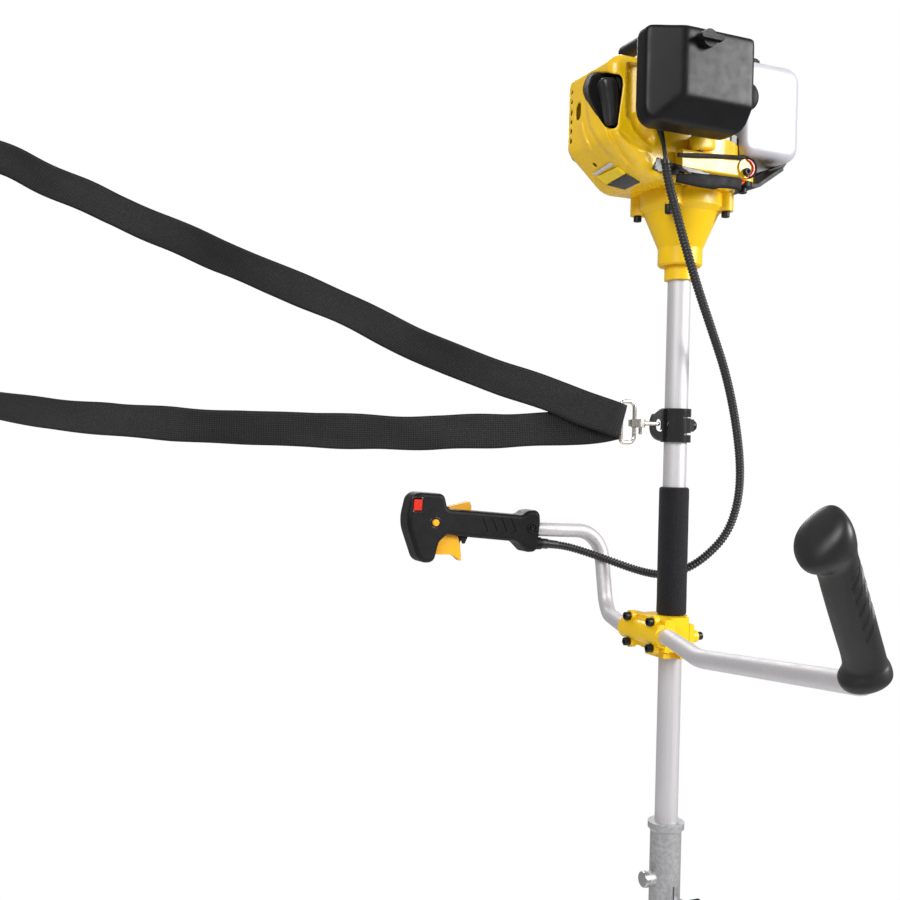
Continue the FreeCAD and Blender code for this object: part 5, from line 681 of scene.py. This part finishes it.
def even_line(line, step):
    """The line walked in equal steps: places and how far along each is."""
    lengths = walked(line)
    count = max(2, round(lengths[-1] / step) + 1)
    marks = np.linspace(0.0, lengths[-1], count)
    columns = [np.interp(marks, lengths, [p[k] for p in line]) for k in range(3)]
    return [Vector(p) for p in zip(*columns)], list(marks)


def around(way):
    """A way of unit length and two more square to it."""
    way = Vector(way).normalized()
    side = way.orthogonal().normalized()
    return way, side, way.cross(side)


def frames_along(places):
    """A direction and two side vectors at each place, carried without twist."""
    ways = []
    for i in range(len(places)):
        ways.append((places[min(i + 1, len(places) - 1)] - places[max(i - 1, 0)]).normalized())
    side = ways[0].orthogonal().normalized()
    made = []
    for way in ways:
        side = (side - way * side.dot(way)).normalized()
        made.append((way, side, way.cross(side)))
    return made


# ==== pieces
def conduit_radius(s, total):
    """The boot and thin cable from the carburettor, then the ferrule, the ribs and the handle's gland."""
    bare = INNER_CABLE_LENGTH
    if s < BOOT_LENGTH:
        return BOOT_RADIUS + (INNER_CABLE_RADIUS - BOOT_RADIUS) * (s / BOOT_LENGTH) ** 0.6
    if s < bare:
        return INNER_CABLE_RADIUS
    if s < bare + FERRULE_LENGTH:
        return CONDUIT_RADIUS
    left = total - s
    if left < GLAND_LENGTH:
        collar = left < 0.4 * GLAND_LENGTH
        return GLAND_RADIUS if collar else CONDUIT_RADIUS + 0.6 * MM * (1.0 - left / GLAND_LENGTH)
    rib = 0.5 - 0.5 * math.cos(2 * math.pi * s / RIB_PITCH)
    return CONDUIT_RADIUS - RIB_DEPTH * rib ** 2


def conduit():
    line = spline_line("conduit", [Vector(p) * MM for p in CONDUIT_ROUTE])
    places, marks = even_line(line, RIB_PITCH / RIB_STEPS)
    rings = []
    for place, s, (_, side, up) in zip(places, marks, frames_along(places)):
        rings.append(circle(place, side, up, conduit_radius(s, marks[-1]), CONDUIT_SIDES))
    piece = rings_mesh("conduit_tube", rings)
    dress(piece, "conduit")
    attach(piece, "machine")
    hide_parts("throttle_cable")


def catmull(values, count):
    """Smooth values between the given ones, evenly over the joined lengths of the first three."""
    points = np.array(values, float)
    gaps = np.linalg.norm(np.diff(points[:, :3], axis=0), axis=1) ** 0.5
    knots = np.concatenate([[0.0], np.cumsum(gaps)])
    padded = np.vstack([2 * points[0] - points[1], points, 2 * points[-1] - points[-2]])
    times = np.concatenate([[-gaps[0]], knots, [knots[-1] + gaps[-1]]])
    made = []
    for t in np.linspace(0.0, knots[-1], count):
        i = min(int(np.searchsorted(knots, t, side="right")) - 1, len(gaps) - 1)
        p, k = padded[i:i + 4], times[i:i + 4]
        a = [((k[j + 1] - t) * p[j] + (t - k[j]) * p[j + 1]) / (k[j + 1] - k[j]) for j in range(3)]
        b = [((k[j + 2] - t) * a[j] + (t - k[j]) * a[j + 1]) / (k[j + 2] - k[j]) for j in range(2)]
        made.append(((k[2] - t) * b[0] + (t - k[1]) * b[1]) / (k[2] - k[1]))
    return np.array(made)


def strap_sections():
    """Centre, width direction and distance along, at even steps round the whole loop."""
    values = [tuple(c * MM for c in p) + tuple(w) for p, w in STRAP_ROUTE]
    fine = catmull(values, STRAP_FINE)
    lengths = np.concatenate([[0.0], np.cumsum(np.linalg.norm(np.diff(fine[:, :3], axis=0), axis=1))])
    marks = np.linspace(0.0, lengths[-1], round(lengths[-1] / STRAP_STEP) + 1)
    return [np.interp(marks, lengths, fine[:, k]) for k in range(6)], marks


def strap():
    """The webbing loop: a flat strip with waving edges, slight twists and a curl across."""
    columns, marks = strap_sections()
    rows = np.array(columns).T
    centres = [Vector(r[:3]) for r in rows]
    ways = frames_along(centres)
    vertices, faces, uvs = [], [], []
    per_side = STRAP_COLUMNS + 1
    for centre, row, s, (way, _, _) in zip(centres, rows, marks, ways):
        width = Vector(row[3:])
        width = (width - way * width.dot(way)).normalized()
        calm = min(1.0, s / STRAP_CALM, (marks[-1] - s) / STRAP_CALM)
        tilt = STRAP_TILT * noise.noise(Vector((s * 7.0, 2.0, 5.0))) * calm
        width = Matrix.Rotation(tilt, 3, way) @ width
        face = way.cross(width)
        edges = [STRAP_EDGE_WAVE * calm * noise.noise(Vector((s * 14.0, 5.0 * side, 9.0)))
                 for side in (-1, 1)]
        for level in (0.5, -0.5):
            for k in range(per_side):
                u = k / STRAP_COLUMNS - 0.5
                ripple = noise.noise(Vector((s * 16.0, u * 1.6, 3.1))) * STRAP_WAVE * calm
                curl = abs(2 * u) ** 3 * STRAP_WAVE * 0.8 * noise.noise(Vector((s * 9.0, 7.0, 1.0)))
                thin = STRAP_THICK * (1.0 - 0.55 * abs(2 * u) ** 8)
                slide = edges[0] * (0.5 - u) + edges[1] * (0.5 + u)
                vertices.append(centre + width * (u * STRAP_WIDTH + slide)
                                + face * (level * thin + ripple + curl * calm))
                uvs.append((u * STRAP_WIDTH, s))
    ring = 2 * per_side
    for i in range(len(rows) - 1):
        a, b = i * ring, (i + 1) * ring
        for k in range(STRAP_COLUMNS):
            faces.append((a + k, a + k + 1, b + k + 1, b + k))
            c, d = a + per_side + k, b + per_side + k
            faces.append((d, d + 1, c + 1, c))
        for edge in (0, STRAP_COLUMNS):
            quad = (a + edge, b + edge, b + per_side + edge, a + per_side + edge)
            faces.append(quad if edge == 0 else tuple(reversed(quad)))
    piece = new_mesh("strap_webbing", vertices, faces)
    layer = piece.data.uv_layers.new(name="weave")
    for loop in piece.data.loops:
        layer.data[loop.index].uv = uvs[loop.vertex_index]
    dress(piece, "webbing")
    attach(piece, "machine")
    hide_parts("shoulder_strap")


def foam():
    """The foam hand-hold: a sleeve with rounded ends and a slightly dented skin."""
    low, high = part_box("foam_sleeve")
    outer = (high.x - low.x) / 2
    inner = outer - FOAM_WALL
    straight = high.z - low.z - 2 * FOAM_EDGE
    quarter = [math.pi / 2 * k / FOAM_EDGE_STEPS for k in range(FOAM_EDGE_STEPS + 1)]
    rise = [FOAM_EDGE * (1 - math.cos(a)) for a in quarter]
    run = [FOAM_EDGE * (1 - math.sin(a)) for a in quarter]
    profile = [(inner, low.z + FOAM_EDGE)]
    profile += [(outer - b, low.z + a) for a, b in zip(rise, run)]
    profile += [(outer, low.z + FOAM_EDGE + straight * k / FOAM_RINGS) for k in range(1, FOAM_RINGS)]
    profile += [(outer - a, high.z - b) for a, b in zip(rise, run)]
    profile.append((inner, high.z - FOAM_EDGE))
    rings = []
    for radius, z in profile:
        ring = []
        for angle in turns(FOAM_SIDES):
            way = Vector((math.cos(angle), math.sin(angle), 0.0))
            soft = noise.noise(way * 3.0 + Vector((0, 0, z * 30.0))) * FOAM_DENT
            ring.append(way * (radius - abs(soft)) + Vector((0, 0, z)))
        rings.append(ring)
    piece = rings_mesh("foam_tube", rings, caps=False)
    dress(piece, "foam")
    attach(piece, "machine")
    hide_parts("foam_sleeve")


def superellipse(angle, wide, deep, square):
    """A point on a rounded-square ring; the angle starts at the side facing away from 'across'."""
    s, c = math.sin(angle), -math.cos(angle)
    power = 2 / square
    return wide * math.copysign(abs(s) ** power, s), deep * math.copysign(abs(c) ** power, c)


def step_between(value, low, high, soft):
    """1 between low and high, falling to 0 over the soft width outside them."""
    up = min(1.0, max(0.0, (value - low) / soft + 1.0))
    down = min(1.0, max(0.0, (high - value) / soft + 1.0))
    return up * up * (3 - 2 * up) * down * down * (3 - 2 * down)


def grip_recess(angle, along):
    """How deep the slanted panels are cut at this place on the barrel."""
    arc = (angle - GRIP_PANEL_FROM) * GRIP_BARREL
    lifted = along - GRIP_PANEL_SLOPE * arc
    side = step_between(angle, GRIP_PANEL_FROM, GRIP_PANEL_TO, GRIP_PANEL_TURN)
    deepest = 0.0
    for i in range(GRIP_PANELS):
        low = GRIP_PANEL_FIRST + i * GRIP_PANEL_PITCH
        high = low + GRIP_PANEL_PITCH - GRIP_PANEL_GAP
        deepest = max(deepest, step_between(lifted, low, high, GRIP_PANEL_EDGE))
    within = step_between(along, *GRIP_PANEL_RANGE, GRIP_PANEL_EDGE)
    knurl = GRIP_KNURL * math.sin(lifted * 2 * math.pi / GRIP_KNURL_PITCH)
    return (GRIP_PANEL_DEPTH + knurl) * deepest * side * within


def grip():
    """The free end's moulded grip: an oval flange, a barrel with slanted panels and a mushroom cap."""
    way = (GRIP_TIP - GRIP_FOOT).normalized()
    out = (GRIP_OUTWARD - way * GRIP_OUTWARD.dot(way)).normalized()
    across = way.cross(out)
    base = GRIP_FOOT + way * GRIP_START
    fine = catmull(np.array(GRIP_STATIONS) * [MM, MM, MM, 1, 1, 1, MM], GRIP_FINE)
    fine = fine[np.argsort(fine[:, 0], kind="stable")]
    rings = []
    for row in fine[::GRIP_FINE // GRIP_ROWS]:
        along, wide, deep, square, slant_out, slant_across, shift = row
        ring = []
        for angle in turns(GRIP_ROUND):
            u, v = superellipse(angle, wide, deep, square)
            kept = 1 - grip_recess(angle, along) / math.hypot(u, v)
            u, v = u * kept, v * kept
            lift = along + slant_out * u + slant_across * v
            ring.append(base + way * lift + out * (u + shift) + across * v)
        rings.append(ring)
    piece = rings_mesh("grip_near", rings)
    dress(piece, "grip_rubber")
    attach(piece, "machine")
    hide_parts("left_grip")


def reach_to_line(flat, line):
    """For flat points: the signed distance to a line of points, and the way along it of the nearest place."""
    best = np.full(len(flat), 1e9)
    signed = np.zeros(len(flat))
    along = np.zeros(len(flat))
    passed = 0.0
    for a, b in zip(line, line[1:]):
        run = b - a
        length = np.linalg.norm(run)
        k = np.clip((flat - a) @ run / length ** 2, 0.0, 1.0)
        away = flat - a - k[:, None] * run
        gap = np.linalg.norm(away, axis=1)
        side = np.sign(run[0] * away[:, 1] - run[1] * away[:, 0])
        nearer = gap < best
        best[nearer] = gap[nearer]
        signed[nearer] = (gap * side)[nearer]
        along[nearer] = (passed + k * length)[nearer]
        passed += length
    return signed, along, passed


def ramp(share):
    """A smooth rise from 0 to 1."""
    held = np.clip(share, 0.0, 1.0)
    return held * held * (3.0 - 2.0 * held)


def cowl_heights(flat):
    """How far the cowl's front stands out of its plain form at flat places, in millimetres."""
    total = np.zeros(len(flat))
    for low_tall, low_reach, high_tall, high_reach, start, end, points in COWL_STEPS:
        line = np.array(points, float)
        signed, along, length = reach_to_line(flat, line)
        inner = 0.5 + 0.5 * np.tanh(signed / COWL_EASE)
        low = low_tall * np.exp(-(np.minimum(signed, 0.0) / low_reach) ** 2)
        high = high_tall * np.exp(-(np.maximum(signed, 0.0) / high_reach) ** 2)
        fade = ramp(along / start) * ramp((length - along) / end)
        total += (low * (1.0 - inner) + high * inner) * fade
    tall, reach, centre = COWL_BULGE
    total += tall * np.exp(-(np.linalg.norm(flat - np.array(centre), axis=1) / reach) ** 2)
    return total


def softened(node, name, voxel, rounds):
    """A copy of a plain shell with its edges melted, to stand in for it."""
    piece = placed(name, frame["nodes"][node].data.copy())
    remesh = piece.modifiers.new("remesh", "REMESH")
    remesh.mode = "VOXEL"
    remesh.voxel_size = voxel
    smooth = piece.modifiers.new("smooth", "SMOOTH")
    smooth.factor = 0.5
    smooth.iterations = rounds
    apply_modifiers(piece)
    piece.data.polygons.foreach_set("use_smooth", [True] * len(piece.data.polygons))
    piece.data.update()
    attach(piece, "machine")
    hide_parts(node)
    return piece


def filter_cover():
    """The filter cover, softened."""
    dress(softened("air_filter_cover", "filter_cover_shell", COVER_VOXEL, COVER_ROUNDS), "cover_plastic")


def cowl():
    """The cylinder's cowl with its sweeping steps, worked on a copy of the plain shell."""
    piece = softened("cylinder_cover", "cowl_shell", COWL_VOXEL, COWL_ROUNDS)
    mesh = piece.data
    places = np.empty(3 * len(mesh.vertices))
    mesh.vertices.foreach_get("co", places)
    places = places.reshape(-1, 3) / MM
    behind = places[:, 1] - COWL_PLANE_Y
    flat = np.stack([places[:, 0] - COWL_SHEAR_X * behind, places[:, 2] - COWL_SHEAR_Z * behind], axis=1)
    near = ramp((COWL_DEEP_Y[0] - places[:, 1]) / (COWL_DEEP_Y[0] - COWL_DEEP_Y[1]))
    normals = np.empty(3 * len(mesh.vertices))
    mesh.vertices.foreach_get("normal", normals)
    facing = np.abs(normals.reshape(-1, 3) @ np.array(COWL_PRESS))
    near = near * ramp(facing * COWL_FACING)
    moved = places - np.array(COWL_PRESS) * (cowl_heights(flat) * near)[:, None]
    tall, low_z, high_z, right_x, left_x = COWL_LIFT
    corner = ramp((places[:, 2] - low_z) / (high_z - low_z))
    corner = corner * ramp((right_x - places[:, 0]) / (right_x - left_x))
    moved[:, 2] += tall * corner
    mesh.vertices.foreach_set("co", (moved * MM).ravel())
    mesh.update()
    dress(piece, "yellow_plastic")


def pressed(places, way, targets, ease):
    """The places pushed along a way until they meet a target, eased over small steps between neighbours."""
    trees = []
    for target in targets:
        target.data.calc_loop_triangles()
        corners = [target.matrix_world @ v.co for v in target.data.vertices]
        triangles = [tuple(t.vertices) for t in target.data.loop_triangles]
        trees.append(BVHTree.FromPolygons(corners, triangles))
    depths = []
    for place in places:
        hits = [tree.ray_cast(place - way * PRESS_BACK, way, PRESS_REACH)[3] for tree in trees]
        depths.append(min((hit for hit in hits if hit is not None), default=PRESS_BACK))
    depths = np.array(depths)
    flat = np.array(places)
    near = np.linalg.norm(flat[:, None] - flat[None], axis=2) <= ease * MM
    lifted = np.where(near, depths[None], 1.0).min(axis=1)
    eased = (near * lifted[None]).sum(axis=1) / near.sum(axis=1)
    return [place + way * (depth - PRESS_BACK) for place, depth in zip(places, np.minimum(eased, depths))]


def plate(name, surface, plane_y, way, thick, ease, outline, targets):
    """A thin blank plate cut to its outline and pressed onto what is behind it."""
    way = Vector(way).normalized()
    rim = []
    for a, b in zip(outline, outline[1:] + outline[:1]):
        count = max(1, round(math.dist(a, b) / PLATE_STEP))
        rim += [Vector(a).lerp(Vector(b), k / count) for k in range(count)]
    xs, zs = [p.x for p in rim], [p.y for p in rim]
    grid = [Vector((x, z)) for x in np.arange(min(xs) + PLATE_STEP / 2, max(xs), PLATE_STEP)
            for z in np.arange(min(zs) + PLATE_STEP / 2, max(zs), PLATE_STEP)]
    inner = [point for point in grid if inside(point, rim)]
    edges = [(i, (i + 1) % len(rim)) for i in range(len(rim))]
    flat, _, triangles, _, _, _ = geometry.delaunay_2d_cdt(rim + inner, edges, [], 1, 1e-5)
    places = pressed([Vector((p.x, plane_y, p.y)) * MM for p in flat], way, targets, ease)
    count = len(places)
    front = [p - way * thick * MM for p in places]
    back = [p + way * PLATE_SUNK * MM for p in places]
    faces = [tuple(f) for f in triangles] + [tuple(i + count for i in reversed(f)) for f in triangles]
    faces += [(b, a, a + count, b + count) for a, b in edge_loop(triangles)]
    piece = new_mesh(name, front + back, faces)
    dress(piece, surface)
    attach(piece, "machine")


def inside(point, rim):
    """Whether a flat point is inside the closed outline, at least a third of a step from it."""
    crossings = False
    for a, b in zip(rim, rim[1:] + rim[:1]):
        if (a - point).length < PLATE_STEP / 3:
            return False
        if (a.y > point.y) != (b.y > point.y):
            if point.x < a.x + (b.x - a.x) * (point.y - a.y) / (b.y - a.y):
                crossings = not crossings
    return crossings


def edge_loop(triangles):
    """The edges that only one triangle has, in the triangle's own direction."""
    seen = set()
    for face in triangles:
        for a, b in zip(face, list(face[1:]) + [face[0]]):
            seen.add((a, b))
    return [(a, b) for a, b in seen if (b, a) not in seen]


def strip(name, surface, square, stations):
    """A soft-edged strip swept along its stations, flat towards the front."""
    fine = catmull(np.array(stations) * MM, STRIP_COUNT)
    places = [Vector(row[:3]) for row in fine]
    lengths = walked(places)
    rings = []
    for row, place, s, (way, _, _) in zip(fine, places, lengths, frames_along(places)):
        through = Vector((0, 1, 0))
        through = (through - way * through.dot(way)).normalized()
        wide = way.cross(through)
        end = min(1.0, (min(s, lengths[-1] - s) + 0.05 * MM) / STRIP_END)
        shrink = math.sqrt(1 - (1 - end) ** 2)
        half, deep = row[3] - STRIP_END * 0.5 * (1 - shrink), row[4] * (0.3 + 0.7 * shrink)
        ring = [superellipse(angle, half, deep, square) for angle in turns(STRIP_ROUND)]
        rings.append([place + wide * u + through * v for u, v in ring])
    piece = rings_mesh(name, rings)
    dress(piece, surface)
    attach(piece, "machine")


def hexagon(angle):
    """The radius of a hexagon of unit outer radius at an angle."""
    turned = angle % (math.pi / 3) - math.pi / 6
    return math.cos(math.pi / 6) / math.cos(turned)


def screw(name, place, way, radius, tall):
    """A socket head: knurled side, chamfered rim and a hexagonal hollow."""
    way, side, up = around(way)
    profile = (
        # share of the height, share of the radius, hexagonal
        (-0.10, 0.96, 0), (0.0, 0.98, 0), (0.06, 1.0, 0), (0.80, 1.0, 0), (0.90, 0.97, 0), (0.97, 0.90, 0),
        (1.0, 0.82, 0), (1.0, 0.62, 1), (0.98, 0.58, 1), (0.55, 0.56, 1), (0.50, 0.30, 1), (0.47, 0.05, 1),
    )
    rings = []
    for high, wide, hexed in profile:
        ring = []
        for k, angle in enumerate(turns(SCREW_ROUND)):
            knurl = 1.0 - 0.02 * (k % 2) * (wide > 0.95)
            reach = radius * wide * (hexagon(angle) if hexed else knurl) * MM
            ring.append(Vector(place) * MM + way * high * tall * MM
                        + (side * math.cos(angle) + up * math.sin(angle)) * reach)
        rings.append(ring)
    piece = rings_mesh(name, rings)
    dress(piece, "black_steel")
    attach(piece, "machine")


def collar(name, surface, place, half, square, profile):
    """A raised rim round something set into a face that looks along -y."""
    rings = []
    for grow, high in profile:
        wide, tall = (half[0] + grow) * MM, (half[1] + grow) * MM
        ring = [superellipse(angle, wide, tall, square) for angle in turns(COLLAR_ROUND)]
        rings.append([place + Vector((u, -high * MM, v)) for u, v in ring])
    piece = rings_mesh(name, rings, caps=False)
    dress(piece, surface)
    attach(piece, "machine")


def well():
    """The well that the plug's boot stands in, lined in soft black as painted shade for the dark hollow of
    the plug bay.
    """
    outline = [Vector((x, WELL_FACE_Y, z)) * MM for x, z in WELL_OUTLINE]
    fine = []
    for a, b in zip(outline, outline[1:] + outline[:1]):
        fine += [a.lerp(b, k / WELL_SPLIT) for k in range(WELL_SPLIT)]
    for _ in range(WELL_ROUNDS):
        fine = [(fine[i - 1] + fine[i] * 2 + fine[(i + 1) % len(fine)]) / 4 for i in range(len(fine))]
    middle = sum(fine, Vector()) / len(fine)
    grown = [middle + (p - middle) * WELL_GROWN for p in fine]
    shell = bpy.data.objects["cowl_shell"]
    front = [p + WELL_WAY * WELL_BEHIND for p in pressed(grown, WELL_WAY, [shell], 0.0)]
    back = [p + WELL_WAY * ((WELL_BACK_Y - p.y) / WELL_WAY.y) for p in fine]
    rings = []
    for step in range(WELL_STEPS + 1):
        share = step / WELL_STEPS
        rings.append([a.lerp(b, share) for a, b in zip(front, back)])
    deep = sum(back, Vector()) / len(back)
    for shrink in WELL_FLOOR:
        rings.append([deep + (p - deep) * shrink + WELL_WAY * MM for p in back])
    piece = rings_mesh("plug_well", rings, caps=False)
    # painted shade: the soft black lining stands for the shade inside the bay round the boot
    dress(piece, "soft_black")
    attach(piece, "machine")


def boot():
    """The plug's moulded boot: a ridged body that narrows downwards to a rounded tip, and its socket."""
    fine = catmull(np.array(BOOT_STATIONS) * [MM, MM, MM, MM, 1.0], BOOT_ROWS)
    low = fine[0][0]
    rings = []
    for z, x, wide, deep, square in fine:
        rise = min(1.0, (z - low) / BOOT_RIDGE_START)
        ring = []
        for angle in turns(BOOT_ROUND):
            u, v = superellipse(angle, wide, deep, max(2.0, square))
            crease = 1.0
            for middle, half in BOOT_RIDGES:
                away = (angle - middle + math.pi) % (2 * math.pi) - math.pi
                crease += BOOT_RIDGE_TALL * rise * math.exp(-(away / half) ** 2)
            ring.append(Vector((x + u * crease, BOOT_Y * MM + v * crease, z)))
        rings.append(ring)
    piece = rings_mesh("plug_boot", rings)
    dress(piece, "boot_rubber")
    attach(piece, "machine")
    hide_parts("spark_plug_boot")
    _, side, up = around(SOCKET_TO - SOCKET_FROM)
    rings = [circle(SOCKET_FROM.lerp(SOCKET_TO, share), side, up, wide * SOCKET_RADIUS, SOCKET_ROUND)
             for share, wide in SOCKET_PROFILE]
    socket = rings_mesh("plug_boot_socket", rings)
    dress(socket, "boot_rubber")
    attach(socket, "machine")
    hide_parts("spark_plug_boot")


def handle_seat(middle, aside):
    """The place of a middle on the handle, as deep as the handle's face is beside it."""
    shells = [frame["nodes"]["handle_left_shell"], frame["nodes"]["handle_right_shell"]]
    felt = Vector((middle[0] + aside, HANDLE_FRONT, middle[1])) * MM
    depth = pressed([felt], Vector((0, 1, 0)), shells, 0)[0].y
    return Vector((middle[0] * MM, depth, middle[1] * MM))


def trim():
    """Everything that is stuck or screwed onto the covers."""
    for name, surface, middle, half, square, profile in COLLARS:
        collar(name, surface, handle_seat(middle, half[0]), half, square, profile)
    name, middle, radius, tall = HANDLE_SCREW
    screw(name, handle_seat(middle, HANDLE_SCREW_ASIDE) / MM, (0.0, -1.0, 0.0), radius, tall)
    targets = [bpy.data.objects["cowl_shell"], frame["nodes"]["fan_housing"]]
    for row in PLATES:
        plate(*row, targets)
    for row in STRIPS:
        strip(*row)
    for row in SCREWS:
        screw(*row)


def starter_rope():
    """The rope that follows the starter's handle out of the housing."""
    run = ROPE_TO - ROPE_FROM
    side, down = Vector((0, 1, 0)), Vector((0, 0, -1))
    rings = [circle(ROPE_FROM + run * i / ROPE_RINGS, side, down, ROPE_RADIUS, ROPE_ROUND)
             for i in range(ROPE_RINGS + 1)]
    piece = rings_mesh("starter_rope", rings)
    dress(piece, "soft_black")
    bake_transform(piece)


def apply_modifiers(piece):
    mesh = evaluated(piece)
    piece.modifiers.clear()
    old = piece.data
    piece.data = mesh
    bpy.data.meshes.remove(old)


# ==== the studio
def camera():
    data = bpy.data.cameras.new("camera")
    data.lens = CAMERA_LENS
    data.sensor_width = CAMERA_SENSOR
    made = placed("camera", data)
    forward = Vector(CAMERA_LOOKS).normalized()
    right = forward.cross(Vector(CAMERA_UP)).normalized()
    up = right.cross(forward)
    turn = Matrix((right, up, -forward)).transposed().to_4x4()
    made.matrix_world = Matrix.Translation(CAMERA_AT) @ turn
    bpy.context.scene.camera = made


def lamps():
    for name, place, size, power in LAMPS:
        data = bpy.data.lights.new(name, "AREA")
        data.shape = "DISK"
        data.size = size
        data.energy = power
        made = placed(name, data)
        aim = Vector(LIT_MIDDLE) - Vector(place)
        made.matrix_world = Matrix.Translation(place) @ aim.to_track_quat("-Z", "Y").to_matrix().to_4x4()


def sky():
    world = bpy.data.worlds.new("studio")
    bpy.context.scene.world = world
    world.use_nodes = True
    tree = world.node_tree
    tree.nodes.clear()
    output = tree.nodes.new("ShaderNodeOutputWorld")
    mix = tree.nodes.new("ShaderNodeMixShader")
    soft = tree.nodes.new("ShaderNodeBackground")
    soft.inputs["Strength"].default_value = SKY_STRENGTH
    white = tree.nodes.new("ShaderNodeBackground")
    for background in (soft, white):
        background.inputs["Color"].default_value = (1.0, 1.0, 1.0, 1.0)
    path = tree.nodes.new("ShaderNodeLightPath")
    tree.links.new(path.outputs["Is Camera Ray"], mix.inputs["Fac"])
    tree.links.new(soft.outputs["Background"], mix.inputs[1])
    tree.links.new(white.outputs["Background"], mix.inputs[2])
    tree.links.new(mix.outputs["Shader"], output.inputs["Surface"])
    bpy.context.scene.view_settings.view_transform = "Standard"


def floor():
    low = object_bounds()[0].z - FLOOR_GAP
    rim = [Vector((FLOOR_RADIUS * math.cos(a), FLOOR_RADIUS * math.sin(a), low))
           for a in turns(FLOOR_SIDES)]
    piece = new_mesh("floor", rim, [tuple(range(len(rim)))])
    s = Surface("floor", Roughness=0.9, Specular_IOR_Level=0.2)
    s.colour(s.ramp(s.noise(3.0), (0.3, (0.86, 0.86, 0.86)), (0.7, (0.9, 0.9, 0.9))))
    piece.data.materials.append(s.material)
    piece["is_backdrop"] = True


camera()
conduit()
strap()
foam()
grip()
cowl()
filter_cover()
well()
boot()
trim()
starter_rope()
for part in frame["record"]["subparts"]:
    dress(frame["nodes"][part["node"]], part["material_slot"])
lamps()
sky()
floor()
